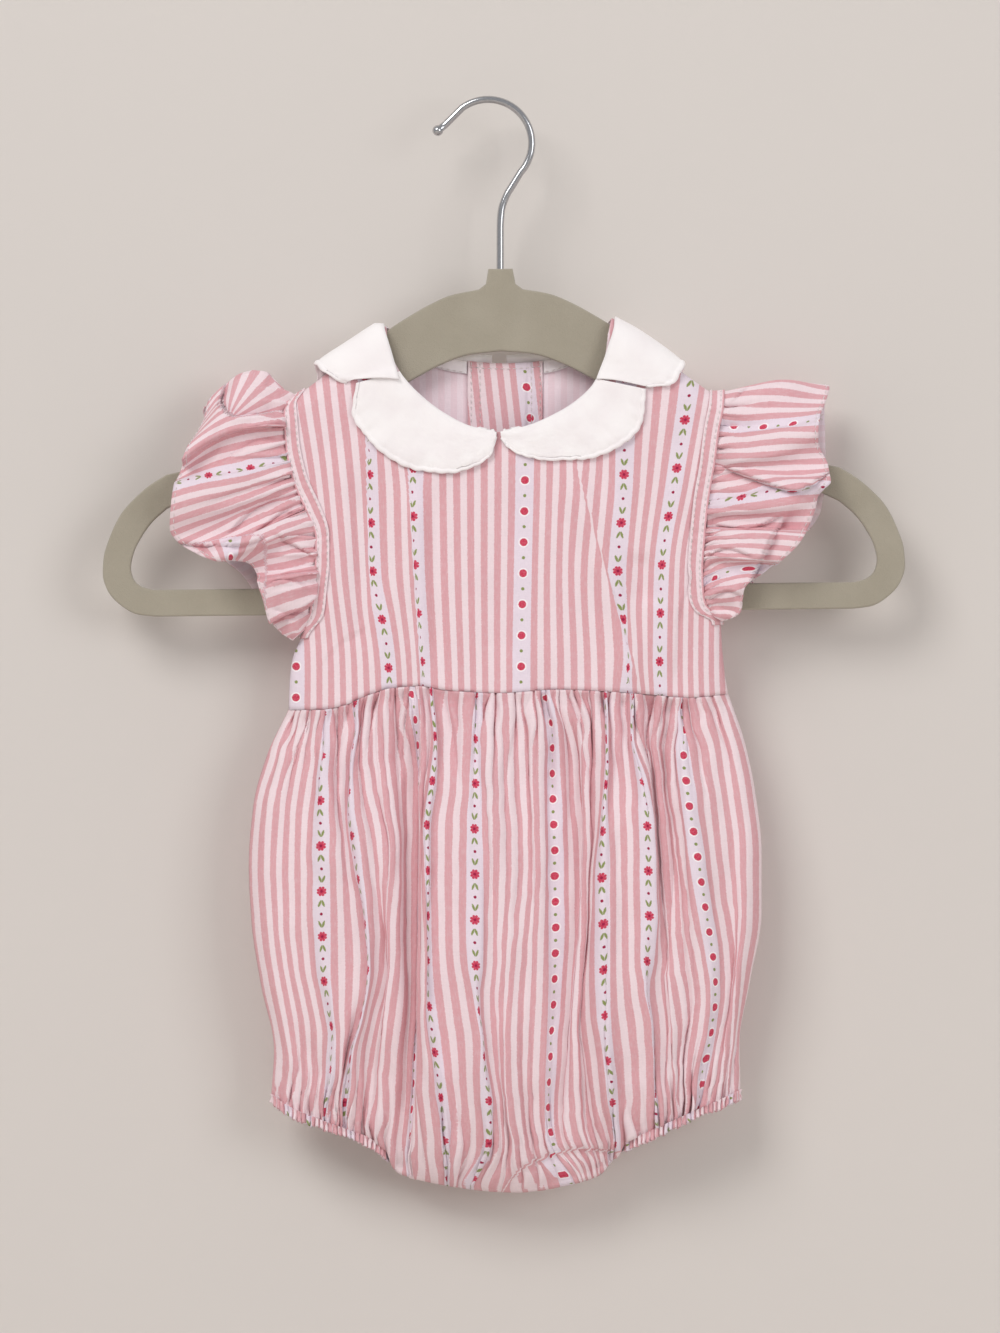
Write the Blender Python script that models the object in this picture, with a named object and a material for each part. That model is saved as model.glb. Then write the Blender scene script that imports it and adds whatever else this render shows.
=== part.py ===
"""A baby's bubble romper hanging on a child's slim hanger.

Row frame: +X to the viewer's right, +Y towards the wall, +Z up. The origin is the point under the
top of the hook where a wall peg carries it.

The tables are in millimetres, in the garment's own terms: x runs from the hanger's centre line,
y is the depth (minus is the front), and drop runs down from the peg. row_frame() turns them into
Blender's metres. Every cloth piece is an open sheet of points with a Solidify wall.
"""

import math

import bmesh
import bpy
import numpy as np
from mathutils import Vector
from mathutils.bvhtree import BVHTree

# ---------------------------------------------------------------- driving sizes, in millimetres
MM = 0.001
CENTRE_X = 6.5  # the hanger's centre line, to the right of the peg
HANGER_TILT = math.radians(0.65)  # the hanger's right end rides this much higher

CLOTH = 1.4  # wall of one layer of cotton
TRIM = 1.0  # wall of a folded binding or facing
COLLAR = 1.5  # wall of the two-layer collar
GAP = 0.3  # between pieces at a seam, and between layers that lie on each other

HANGER_THICK = 5.0
HANGER_EDGE = 0.9  # chamfer of the flocked edge
WIRE_R = 1.6
BALL_R = 2.4
HOOK_R = 19.4  # centre line of the hook's round part
STEM_X = -1.1
STEM_TOP = 45.7
BOSS_TOP = 73.7
BOSS_HOLE_R = 2.0
BOSS_HOLE_DEEP = 8.0

RIDGE_CLEAR = 2.8  # shoulder cloth, mid wall, above the hanger's arm
RIDGE_ROUND = 10.0  # height over which the shoulder turns from its top to the front
SHOULDER_LOWEST = 129.0  # the right shoulder's tip is held up by its ruffle
SECTION_POWER = 3.0  # superellipse of the body's flattened section
SEAM_HALF = GAP / 2
WAIST_HALF = 0.27  # half the gap of the curved waist seam

BODY_WIDE = 356.0  # flat width of the gathered front or back
GATHERS = 24  # along each waist seam
UNDERARM = 239.5
RIGHT_UNDERARM = 230.5

# ---------------------------------------------------------------- tables: (x, drop)
# Top of the hanger's arm and its underside, for x from the centre outwards.
ARM_TOP = ((9.8, 82.8), (21.6, 85.0), (31.6, 89.2), (41.6, 94.8), (49.2, 99.6), (60.0, 107.8),
           (70.0, 115.8), (80.0, 123.9), (90.0, 131.2), (100.0, 137.7), (115.0, 147.0), (126.0, 153.5))
ARM_NOTCH = ((129.5, 158.0), (134.0, 160.2))
ARM_END = ((149.3, 163.4), (156.1, 167.5), (163.0, 173.2), (169.7, 180.6), (174.6, 190.4),
           (177.6, 200.0), (178.1, 207.4), (175.8, 214.9), (169.9, 221.4), (162.8, 225.3), (155.0, 226.3))
ARM_UNDER = ((0.0, 110.2), (14.0, 111.6), (27.0, 116.0), (39.0, 122.2), (51.0, 129.0), (75.0, 141.6),
             (100.0, 154.4), (125.0, 166.8), (149.3, 178.5), (156.1, 184.6), (160.8, 191.1),
             (164.2, 197.9), (165.6, 204.7), (164.4, 209.5), (160.8, 212.9), (155.5, 214.4))

NECK_FRONT = ((-51.0, 107.7), (-47.5, 116.1), (-43.9, 122.0), (-37.3, 129.1), (-26.1, 137.8),
              (-14.2, 143.8), (-2.0, 146.4), (10.8, 143.6), (24.1, 137.8), (32.3, 132.6),
              (39.2, 126.2), (43.0, 119.7), (46.4, 110.0))
NECK_BACK = ((-46.0, 104.6), (-36.0, 110.0), (-20.0, 114.4), (0.0, 116.0), (20.0, 114.4),
             (34.0, 109.8), (43.5, 104.0))
NECK_SIDE = (-52.0, 48.5)  # x of the neck's two shoulder points

ARMHOLE_LEFT = ((-97.0, 138.0), (-96.0, 153.0), (-93.0, 168.0), (-87.3, 181.3), (-82.9, 194.0),
                (-83.0, 206.0), (-84.5, 220.0), (-86.2, 231.0))
ARMHOLE_RIGHT = ((97.8, 136.0), (96.2, 144.0), (93.6, 162.4), (91.2, 176.6), (89.6, 191.9),
                 (88.5, 207.0), (89.0, 219.0), (91.5, 226.0))
SHOULDER_TIP = (-93.0, 98.5)  # x of the left and right armhole tops

WAIST = ((-94.7, 269.4), (-82.0, 269.4), (-70.1, 267.4), (-60.5, 263.2), (-49.7, 259.8),
         (-36.1, 258.8), (-25.9, 260.6), (-2.1, 261.9), (23.4, 260.4), (42.0, 261.0), (65.8, 262.7),
         (82.7, 264.0), (99.8, 262.4))
HEM = ((-102.4, 444.5), (-94.4, 449.6), (-81.7, 454.8), (-69.7, 459.2), (-59.8, 463.0),
       (-52.0, 469.0), (-44.9, 475.6), (-34.3, 478.6), (-21.6, 481.0), (-3.2, 483.2), (6.2, 483.5),
       (17.2, 482.6), (28.1, 480.4), (42.2, 476.4), (47.5, 471.0), (54.7, 465.4), (66.6, 459.6),
       (79.8, 453.6), (92.0, 448.2), (105.2, 442.6))

# The body's flattened ring: drop, left x, right x, front depth, back depth.
RING = ((70, -132.0, 136.0, 7.6, 7.2), (95, -124.0, 128.0, 7.8, 7.4), (130, -118.0, 122.0, 8.4, 7.8),
        (180, -108.0, 112.0, 9.2, 8.6), (210, -101.0, 106.0, 10.0, 9.0), (223, -95.6, 100.4, 10.2, 9.0),
        (231, -92.2, 96.4, 10.4, 9.0), (239.5, -90.0, 97.0, 10.6, 9.0), (243, -92.0, 97.2, 10.8, 9.0),
        (255, -94.2, 98.5, 11.2, 9.4), (270, -94.8, 100.4, 12.0, 10.0))

# The bubble's outline: share of the way down, left x, right x, front depth, back depth.
BUBBLE = ((0.00, -94.7, 99.8, 11.9, 9.9), (0.12, -104.4, 107.0, 16.5, 13.5),
          (0.25, -110.4, 111.8, 21.5, 17.0), (0.40, -112.4, 114.6, 25.0, 19.5),
          (0.55, -111.2, 114.6, 26.5, 20.5), (0.72, -106.8, 109.6, 26.0, 20.0),
          (0.88, -101.2, 104.8, 23.0, 18.0), (1.00, -102.4, 105.2, 20.0, 16.0))

# Where the cloth's own lengthwise lines lie. First row: millimetres of flat cloth from the left
# seam. Other rows: share of the way down, then x. Cloth that these leave over goes into folds.
FRONT_CLOTH = (0.0, 34.0, 56.0, 101.0, 146.0, 168.0, 213.0, 258.0, 280.0, 325.0, BODY_WIDE)
FRONT_LINES = ((0.00, -77.3, -65.0, -40.0, -23.4, -10.6, 19.6, 44.3, 56.5, 78.7),
               (0.25, -79.8, -66.7, -42.5, -33.4, -12.7, 22.8, 44.5, 62.4, 83.2),
               (0.50, -80.0, -60.9, -42.0, -33.2, -12.7, 23.5, 43.6, 63.0, 89.3),
               (0.75, -75.5, -58.5, -42.5, -30.5, -10.5, 21.4, 45.2, 63.8, 91.0),
               (1.00, -72.0, -60.0, -42.5, -26.0, -14.0, 25.4, 50.0, 66.0, 87.6))
FRONT_FOLD = (2.5, 3.0, 10.0, 11.0, 2.5, 6.5, 10.0, 3.0, 9.0, 4.0)  # depth between two lines
BACK_CLOTH = (0.0, 38.0, 72.0, 110.0, 152.0, 188.0, 226.0, 268.0, 312.0, BODY_WIDE)
BACK_LINES = ((0.00, -76.0, -57.0, -35.0, -12.0, 8.0, 30.0, 53.0, 77.0),
              (0.50, -88.0, -65.0, -41.0, -12.0, 9.0, 34.0, 62.0, 90.0),
              (1.00, -80.0, -62.0, -40.0, -14.0, 12.0, 36.0, 60.0, 84.0))
BACK_FOLD = (3.0, 6.0, 8.0, 7.0, 6.5, 8.5, 7.5, 5.5, 3.0)

# Ruffle hems: share of the armhole from the front underarm over the shoulder to the back
# underarm, then x, y and drop of the hem there.
RUFFLE_LEFT = ((0.03, -93.0, -5.0, 238.5), (0.08, -101.5, -10.0, 233.0), (0.14, -106.0, -13.0, 218.0),
               (0.20, -112.0, -15.0, 206.0), (0.28, -131.0, -17.0, 202.0), (0.36, -147.0, -18.0, 189.0),
               (0.42, -145.0, -16.0, 170.0), (0.46, -137.0, -13.0, 150.0), (0.50, -131.0, -2.0, 128.5),
               (0.55, -132.0, 11.0, 142.0), (0.62, -140.0, 15.0, 162.0), (0.72, -139.0, 16.0, 182.0),
               (0.82, -126.0, 15.0, 201.0), (0.91, -106.0, 12.0, 220.0), (0.97, -93.0, 5.0, 238.5))
RUFFLE_RIGHT = ((0.03, 97.0, -6.0, 230.0), (0.08, 105.0, -10.0, 226.5), (0.14, 107.0, -13.0, 216.0),
                (0.20, 117.0, -15.0, 208.0), (0.28, 133.0, -17.0, 194.0), (0.36, 144.5, -18.0, 178.0),
                (0.42, 144.0, -16.0, 158.0), (0.46, 143.5, -13.0, 140.0), (0.50, 145.0, 0.0, 125.6),
                (0.55, 143.5, 12.0, 141.0), (0.62, 144.0, 16.0, 160.0), (0.72, 142.0, 16.0, 180.0),
                (0.82, 128.0, 15.0, 198.0), (0.91, 112.0, 12.0, 213.0), (0.97, 97.0, 6.0, 228.5))
RUFFLE_WAVES = 13
RUFFLE_SPAN = (0.03, 0.97)

# Collar petals on the front: share of the neckline from the centre outwards, then x and drop of
# the outer edge.
PETAL_LEFT = ((0.0, -3.0, 149.0), (0.12, -5.2, 156.5), (0.25, -13.0, 162.0), (0.40, -24.5, 164.8),
              (0.55, -38.0, 163.4), (0.68, -51.0, 157.6), (0.80, -60.5, 148.2), (0.90, -66.2, 138.4),
              (1.0, -66.6, 129.2))
PETAL_RIGHT = ((0.0, -0.6, 149.4), (0.12, 2.6, 153.6), (0.25, 11.0, 157.4), (0.40, 22.5, 159.3),
               (0.55, 34.5, 158.9), (0.68, 45.8, 155.8), (0.80, 55.0, 150.6), (0.90, 61.6, 142.4),
               (1.0, 62.6, 131.6))
PETAL_END = (-45.6, 41.4)  # x where the front petals' neck edges end, under the back petals

# Back collar petals, unrolled over the shoulder: x and distance from the shoulder's ridge (plus
# at the back, minus at the front) of the neck edge and of the outer edge. Left; the right mirrors.
PETAL_BACK = ((-4.8, 39.0, -5.4, 66.0), (-12.0, 37.5, -14.0, 71.5), (-22.0, 34.8, -33.0, 69.0),
              (-35.0, 25.6, -57.0, 50.0), (-45.0, 14.6, -73.0, 29.0), (-52.2, 3.0, -82.0, 11.0),
              (-52.2, -6.5, -83.2, -0.5), (-49.8, -16.5, -80.5, -5.5), (-43.6, -32.6, -76.5, -10.5))
PETAL_SHARES = (0.0, 0.09, 0.18, 0.27, 0.36, 0.45, 0.53, 0.6, 0.65, 0.69, 0.72, 0.75, 0.78, 0.81, 0.84, 0.88,
                0.92, 0.96, 1.0)  # stations along a back petal, closer where it turns over the shoulder
PETAL_BACK_SHIFT = -3.2  # the neck's right shoulder point is this much nearer the centre

PLACKET = (-10.0, 10.0)  # the back's two halves overlap between these x
FACING = (-16.6, 20.0)  # x of the striped facing inside the placket
FACING_END = 236.0
BINDING_WIDE = 5.0
ARM_BAND_WIDE = 7.0
RUFFLE_START = 2.0  # the ruffle's seam edge, outside the armhole's
RUFFLE_LIFT = (9.0, 5.0)  # how far the left and right ruffles rise over the shoulder
RUFFLE_TALL = (0.4, 3.2)  # wave height at the seam and at the hem
BUBBLE_POWER = 2.3
TUCK_FROM = 0.74  # share of the way down where the bubble starts to turn under
GATHER_TALL = ((0.0, 1.5), (0.05, 2.7), (0.16, 1.9), (0.34, 0.5), (0.8, 0.4), (0.93, 0.9), (1.0, 1.1))
FRONT_ROWS = (0.0, 0.04, 0.1, 0.2, 0.34, 0.5, 0.66, 0.79, 0.89, 0.96, 1.0)
BODICE_ROWS = (0.0, 0.008, 0.022, 0.045, 0.085, 0.15, 0.25, 0.37, 0.5, 0.62, 0.71, 0.775, 0.88, 1.0)
UNDERARM_ROW = 11
BACK_ROWS = (0.0, 0.05, 0.15, 0.31, 0.5, 0.69, 0.82, 0.92, 1.0)
LEG_SPAN = ((-102.4, -47.5), (50.0, 105.2))  # x of the two leg openings
LEG_DEEP = 11.0
LEG_GAP = 0.5  # of the sloping casing seam, measured upright
CASING_SHORT = 3.8  # a casing ends this far from the crotch's corner
CASING_TALL = 0.8
# Creases of the front bodice: top x, top drop, low x, low drop, half width, height.
FRONT_CREASES = ((31.2, 165.6, 60.5, 257.6, 7.0, 2.6), (60.5, 202.0, 64.5, 221.6, 6.0, -2.0),
                 (-38.0, 175.0, -36.0, 250.0, 5.0, 2.2), (-30.0, 175.0, -29.0, 250.0, 5.0, -1.6),
                 (-72.0, 158.0, -69.0, 238.0, 5.0, 1.8), (-62.0, 165.0, -60.0, 240.0, 5.0, -1.4),
                 (78.0, 160.0, 72.0, 255.0, 6.0, 1.8))
BUTTON_R = 5.0
BUTTON_THICK = 2.0
BUTTON_DROPS = (152.0, 184.0, 216.0)
LEG_BAND_TALL = 4.6

COLOURS = {  # colour, roughness, metallic
    "cotton": ((0.86, 0.55, 0.57), 0.85, 0.0),
    "white_cotton": ((0.93, 0.90, 0.89), 0.8, 0.0),
    "flocking": ((0.42, 0.38, 0.31), 0.95, 0.0),
    "chrome": ((0.75, 0.75, 0.76), 0.18, 1.0),
    "button": ((0.93, 0.91, 0.89), 0.35, 0.0),
}


# ---------------------------------------------------------------- lines and surfaces
def smooth(xs, ys):
    """A curve through the points that never overshoots them (monotone cubic)."""
    xs, ys = np.asarray(xs, float), np.asarray(ys, float)
    step = np.diff(xs)
    slope = np.diff(ys) / step
    tangent = np.zeros_like(ys)
    tangent[0], tangent[-1] = slope[0], slope[-1]
    before, after = slope[:-1], slope[1:]
    same_way = before * after > 0
    total = np.where(same_way, before + after, 1.0)
    tangent[1:-1] = np.where(same_way, 2 * before * after / total, 0.0)

    def value(x):
        x = np.clip(x, xs[0], xs[-1])
        i = np.clip(np.searchsorted(xs, x, side="right") - 1, 0, len(step) - 1)
        t = (x - xs[i]) / step[i]
        start = ys[i] * (1 + 2 * t) + tangent[i] * step[i] * t
        end = ys[i + 1] * (3 - 2 * t) - tangent[i + 1] * step[i] * (1 - t)
        return start * (1 - t) ** 2 + end * t**2

    return value


def columns_of(table):
    """One smooth curve for each column of a table, over its first column."""
    rows = np.array(table, float)
    return [smooth(rows[:, 0], rows[:, k]) for k in range(1, rows.shape[1])]


def along(points, shares, straight=False):
    """Points at these shares of a line's length, on a smooth curve or on its straight pieces."""
    points = np.array(points, float)
    length = np.concatenate([[0], np.cumsum(np.linalg.norm(np.diff(points, axis=0), axis=1))])
    at = np.asarray(shares, float) * length[-1]
    if straight:
        return np.stack([np.interp(at, length, column) for column in points.T], axis=-1)
    return np.stack([smooth(length, column)(at) for column in points.T], axis=-1)


def ease(low, high, x):
    t = np.clip((np.asarray(x, float) - low) / (high - low), 0, 1)
    return t * t * (3 - 2 * t)


def normals(grid):
    """Unit normals of a sheet of points. They face the viewer where rows run down and columns
    run to the right."""
    down = np.gradient(grid, axis=0)
    across = np.gradient(grid, axis=1)
    normal = np.cross(across, down)
    return normal / np.maximum(np.linalg.norm(normal, axis=2, keepdims=True), 1e-9)


def moved_out(grid, distance):
    return grid + normals(grid) * distance


def settle(grid, clear, under, towards=1):
    """Moves a sheet along its normals until all of it is clear of the sheets under it."""
    trees = []
    for base in under:
        rows, columns = base.shape[:2]
        at = np.arange(rows * columns).reshape(rows, columns)
        quads = np.stack([at[:-1, :-1], at[:-1, 1:], at[1:, 1:], at[1:, :-1]], axis=-1).reshape(-1, 4)
        trees.append(BVHTree.FromPolygons(base.reshape(-1, 3).tolist(), quads.tolist()))
    steps = (0.0, 0.33, 0.67, 1.0)
    for _ in range(5):
        normal = normals(grid)
        need = np.zeros(grid.shape[:2])
        for i in range(grid.shape[0] - 1):
            for j in range(grid.shape[1] - 1):
                a, b, c, d = grid[i, j], grid[i, j + 1], grid[i + 1, j], grid[i + 1, j + 1]
                lack = 0.0
                for s in steps:
                    for t in steps:
                        point = Vector((a * (1 - s) + b * s) * (1 - t) + (c * (1 - s) + d * s) * t)
                        for tree in trees:
                            hit, facing, _, _ = tree.find_nearest(point, 12.0)
                            if hit is None:
                                continue
                            out = (point - hit).dot(facing) * towards
                            level = ((point - hit) - facing * out * towards).length
                            if out > -2.5 and level < 0.4 * abs(out) + 0.05:
                                lack = max(lack, clear - out)
                cell = need[i:i + 2, j:j + 2]
                np.maximum(cell, lack, out=cell)
        padded = np.pad(need, 1, mode="edge")
        height, width = need.shape
        blurred = sum(padded[i:i + height, j:j + width] for i in range(3) for j in range(3)) / 9
        grid = grid + normal * (np.maximum(need, blurred) * towards)[..., None]
    return grid


def row_frame(points):
    """(x, y, drop) in millimetres to (X, Y, Z) in metres."""
    points = np.asarray(points, float)
    return np.stack([points[..., 0] + CENTRE_X, points[..., 1], -points[..., 2]], axis=-1) * MM


# ---------------------------------------------------------------- the hanging body's form
arm_top_line = smooth(*zip(*((0.0, 82.4),) + ARM_TOP))
ring_left, ring_right, ring_front, ring_back = columns_of(RING)


def tilted(points):
    """The hanger's points turned by its tilt about its own middle."""
    points = np.array(points, float)
    x, drop = points[:, 0], points[:, 1] - 160.0
    turn, hold = math.sin(HANGER_TILT), math.cos(HANGER_TILT)
    return np.stack([x * hold + drop * turn, drop * hold - x * turn + 160.0], axis=1)


def ridge(x):
    """Drop of the shoulder cloth's top line, which rides on the hanger's arm."""
    x = np.asarray(x, float)
    arm = arm_top_line(np.abs(x)) - x * math.sin(HANGER_TILT)
    return np.minimum(arm - RIDGE_CLEAR, SHOULDER_LOWEST + 4.0 * (x < 0))


def depth(x, drop, back=False):
    """Distance of the body's mid wall from the hanger's plane."""
    left, right = ring_left(drop), ring_right(drop)
    reach = np.abs(2 * (x - left) / (right - left) - 1)
    round_off = np.maximum(1 - np.minimum(reach, 1) ** SECTION_POWER, 0) ** (1 / SECTION_POWER)
    fall = np.clip((drop - ridge(x)) / RIDGE_ROUND, 0, 1)
    over = np.sqrt(np.maximum(1 - (1 - fall) ** 2, 0))
    full = ring_back(drop) if back else ring_front(drop)
    return full * round_off * over + SEAM_HALF


def creases(x, drop):
    """Soft slanting creases of the hanging front, in millimetres towards the viewer."""
    total = np.zeros_like(x)
    for top_x, top, low_x, low, wide, tall in FRONT_CREASES:
        t = (drop - top) / (low - top)
        line = top_x + (low_x - top_x) * t
        fade = ease(-0.15, 0.15, t) * (1 - ease(0.85, 1.15, t))
        total += tall * fade * np.exp(-(((x - line) / wide) ** 2))
    return total


def on_front(flat):
    """(x, drop) points put on the front of the body."""
    x, drop = flat[..., 0], flat[..., 1]
    return np.stack([x, -depth(x, drop) - creases(x, drop), drop], axis=-1)


def on_back(flat):
    return np.stack([flat[..., 0], depth(flat[..., 0], flat[..., 1], True), flat[..., 1]], axis=-1)


def over_shoulder(x, reach):
    """Points at this distance from the ridge, down the front (minus) or the back (plus)."""
    quarter = math.pi / 2 * 0.9 * RIDGE_ROUND
    far = np.abs(reach)
    angle = np.minimum(far / quarter, 1) * math.pi / 2
    fall = RIDGE_ROUND * (1 - np.cos(angle)) + np.maximum(far - quarter, 0)
    drop = ridge(x) + fall
    share = np.clip((reach + 1.5) / 3.0, 0, 1)  # the two sides meet in one smooth top
    front, back = -depth(x, drop), depth(x, drop, True)
    return np.stack([x, np.where(far > 1.5, np.where(reach > 0, back, front),
                                 front * (1 - share) + back * share), drop], axis=-1)


def shoulder(x_from, x_to, count=9):
    xs = np.linspace(x_from, x_to, count)
    return [(x, float(ridge(x))) for x in xs]


def side_edge(tip_x, armhole, ring_edge, underarm, waist_point):
    """From the shoulder's tip down the armhole, then down the side seam to the waist."""
    seam = [(float(ring_edge(d)), d) for d in np.linspace(underarm, waist_point[1], 6)]
    seam[-1] = waist_point
    return [(tip_x, float(ridge(tip_x))), *armhole, *seam]


LEFT_EDGE = side_edge(SHOULDER_TIP[0], ARMHOLE_LEFT, ring_left, UNDERARM, WAIST[0])
RIGHT_EDGE = side_edge(SHOULDER_TIP[1], ARMHOLE_RIGHT, ring_right, RIGHT_UNDERARM, WAIST[-1])


def bodice_panel(neck, columns, x_from=None, x_to=None):
    """(x, drop) grid of a bodice panel, whole or from one side to a straight inner edge."""
    start, end = NECK_SIDE
    top = [*shoulder(SHOULDER_TIP[0], start), *neck, *shoulder(end, SHOULDER_TIP[1])]
    bottom = list(WAIST)
    left, right = LEFT_EDGE, RIGHT_EDGE
    if x_to is not None:
        top, bottom, right = cut_line(top, x_to, True), cut_line(bottom, x_to, True), None
    if x_from is not None:
        top, bottom, left = cut_line(top, x_from, False), cut_line(bottom, x_from, False), None
    if left is None:
        left = [top[0], bottom[0]]
    if right is None:
        right = [top[-1], bottom[-1]]
    u = np.linspace(0, 1, columns + 1)
    closed_left, closed_right = x_from is None, x_to is None
    u = 0.5 * u + 0.5 * eased_ends(u, closed_left, closed_right)
    v = np.array(BODICE_ROWS)
    return patch_at(along(top, u), along(bottom, u), along(left, v), along(right, v), u, v)


def eased_ends(u, left, right):
    """Shares packed closer at the ends where the sheet turns a side."""
    if left and right:
        return (1 - np.cos(math.pi * u)) / 2
    return 1 - np.cos(math.pi * u / 2) if left else np.sin(math.pi * u / 2)


def patch_at(top, bottom, left, right, u, v):
    u, v = u[None, :, None], v[:, None, None]
    across = (1 - v) * top[None] + v * bottom[None]
    down = (1 - u) * left[:, None] + u * right[:, None]
    corners = ((1 - u) * (1 - v) * top[0] + u * (1 - v) * top[-1]
               + (1 - u) * v * bottom[0] + u * v * bottom[-1])
    return across + down - corners


def cut_line(points, x, keep_left):
    """The part of a left-to-right line on one side of x."""
    points = np.array(points, float)
    order = np.argsort(points[:, 0])
    at = float(np.interp(x, points[order, 0], points[order, 1]))
    kept = [tuple(p) for p in points if (p[0] < x - 0.5) == keep_left and abs(p[0] - x) > 0.5]
    return [*kept, (x, at)] if keep_left else [(x, at), *kept]


# ---------------------------------------------------------------- meshes
def finish_mesh(name, bm, material):
    bmesh.ops.recalc_face_normals(bm, faces=bm.faces)
    mesh = bpy.data.meshes.new(name)
    bm.to_mesh(mesh)
    bm.free()
    piece = bpy.data.objects.new(name, mesh)
    romper.objects.link(piece)
    piece.data.materials.append(materials[material])
    return piece


def add_loop(bm, points):
    return [bm.verts.new(Vector(p)) for p in points]


def skin(bm, loops, wrap):
    """Quads between neighbouring loops of vertices."""
    for one, two in zip(loops, loops[1:]):
        count = len(one)
        for i in range(count if wrap else count - 1):
            j = (i + 1) % count
            bm.faces.new((one[i], one[j], two[j], two[i]))


def sheet(name, grid, wall, material="cotton", keep=None, ring=False):
    """A closed wall around a sheet of (row, column) points. keep() puts every point of both faces
    on its own side of a seam. ring joins the last column to the first."""
    if ring:
        wide = np.concatenate([grid[:, -2:], grid, grid[:, :2]], axis=1)
        normal = normals(wide)[:, 2:-2]
    else:
        normal = normals(grid)
    faces = [grid + normal * wall / 2, grid - normal * wall / 2]
    if keep:
        faces = [keep(face) for face in faces]
    bm = bmesh.new()
    front, rear = ([add_loop(bm, row) for row in row_frame(face)] for face in faces)
    skin(bm, front, ring)
    skin(bm, rear, ring)
    edges = [(front[0], rear[0]), (front[-1], rear[-1])]
    if not ring:
        edges += [([row[k] for row in front], [row[k] for row in rear]) for k in (0, -1)]
    for pair in edges:
        skin(bm, pair, ring)
    return finish_mesh(name, bm, material)


def tube(name, path, radii, sides, material):
    """A round bar along a path of points, with its own radius at each, closed at both ends."""
    path = np.asarray(path, float)
    tangent = np.gradient(path, axis=0)
    tangent /= np.linalg.norm(tangent, axis=1, keepdims=True)
    across = np.array([0.0, 1.0, 0.0])
    bm = bmesh.new()
    loops = []
    for point, along_it, radius in zip(path, tangent, radii):
        side = np.cross(along_it, across)
        turn = np.linspace(0, 2 * math.pi, sides, endpoint=False)
        ring = point + radius * (np.outer(np.cos(turn), across) + np.outer(np.sin(turn), side))
        loops.append(add_loop(bm, row_frame(ring)))
    skin(bm, loops, True)
    bm.faces.new(loops[0])
    bm.faces.new(loops[-1])
    return finish_mesh(name, bm, material)


def inset(loop, distance):
    """A closed (x, drop) loop moved towards its own left hand side."""
    before, after = np.roll(loop, 1, axis=0), np.roll(loop, -1, axis=0)
    one, two = loop - before, after - loop
    one /= np.linalg.norm(one, axis=1, keepdims=True)
    two /= np.linalg.norm(two, axis=1, keepdims=True)
    normal = np.stack([-(one + two)[:, 1], (one + two)[:, 0]], axis=1)
    normal /= np.linalg.norm(normal, axis=1, keepdims=True)
    cosine = np.maximum((normal * np.stack([-one[:, 1], one[:, 0]], axis=1)).sum(1), 0.6)
    return loop + normal * (distance / cosine)[:, None]


def anticlockwise(loop):
    loop = np.asarray(loop, float)
    ahead = np.roll(loop, -1, axis=0)
    area = (loop[:, 0] * ahead[:, 1] - ahead[:, 0] * loop[:, 1]).sum()
    return loop if area > 0 else loop[::-1]


# ---------------------------------------------------------------- the hanger
def mirrored(half):
    return [(-x, drop) for x, drop in half[::-1]]


def make_hanger():
    boss = ((5.4, BOSS_TOP), (6.6, 80.4))
    half = [*boss, *ARM_TOP, *ARM_NOTCH, *along(ARM_END, np.linspace(0, 1, 17))]
    outer = anticlockwise(tilted([*half, *mirrored(half)]))
    under = [*ARM_UNDER[:8], *along(ARM_UNDER[8:], np.linspace(0, 1, 12))]
    inner = anticlockwise(tilted([*under, *mirrored(under[1:])]))
    bm = bmesh.new()
    edges = {}
    for loop, inwards in ((outer, 1), (inner, -1)):
        layers = []
        for y, move in ((-HANGER_THICK / 2, HANGER_EDGE), (HANGER_EDGE - HANGER_THICK / 2, 0.0),
                        (HANGER_THICK / 2 - HANGER_EDGE, 0.0), (HANGER_THICK / 2, HANGER_EDGE)):
            flat = inset(loop, move * inwards)
            layers.append(add_loop(bm, row_frame(np.insert(flat, 1, y, axis=1))))
        skin(bm, layers, True)
        for cap in (0, -1):
            line = layers[cap]
            edges.setdefault(cap, []).extend(
                bm.edges.get((a, b)) for a, b in zip(line, line[1:] + line[:1]))
    for cap in (0, -1):
        bmesh.ops.triangle_fill(bm, use_beauty=True, use_dissolve=False, edges=edges[cap])
    plate = finish_mesh("hanger_body", bm, "flocking")
    hole = tube("stem_hole", [(STEM_X, 0, BOSS_TOP - 4), (STEM_X, 0, BOSS_TOP + BOSS_HOLE_DEEP)],
                (BOSS_HOLE_R, BOSS_HOLE_R), 14, "flocking")
    cut = plate.modifiers.new("stem_hole", "BOOLEAN")
    cut.operation, cut.solver, cut.object = "DIFFERENCE", "EXACT", hole
    settled = bpy.data.meshes.new_from_object(plate.evaluated_get(bpy.context.evaluated_depsgraph_get()))
    plate.modifiers.clear()
    plate.data = settled
    bpy.data.objects.remove(hole)


def make_hook():
    middle = np.array([-CENTRE_X, HOOK_R - WIRE_R])
    turn = np.radians(np.arange(132, -46, -13))
    arc = middle + HOOK_R * np.stack([np.sin(turn), -np.cos(turn)], axis=1)
    stem = [(STEM_X, BOSS_TOP + BOSS_HOLE_DEEP - 1.0), (STEM_X, 64.0), (STEM_X, 55.7), (-0.6, 48.0),
            (1.6, 41.2), (4.6, 36.2)]
    tip = [(-25.6, 9.7)]
    line = np.array([*stem, *arc, *tip])
    radii = [WIRE_R] * len(line)
    ahead = np.array([-28.8, 12.2]) - line[-1]
    reach = np.linalg.norm(ahead)
    for angle in np.radians((45, 70, 95, 120, 145, 166)):
        along_tip = reach - BALL_R * math.cos(angle)
        line = np.vstack([line, line[len(stem) + len(arc)] + ahead / reach * along_tip])
        radii.append(BALL_R * math.sin(angle))
    tube("hanger_hook", np.insert(line, 1, 0.0, axis=1), radii, 10, "chrome")


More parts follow.
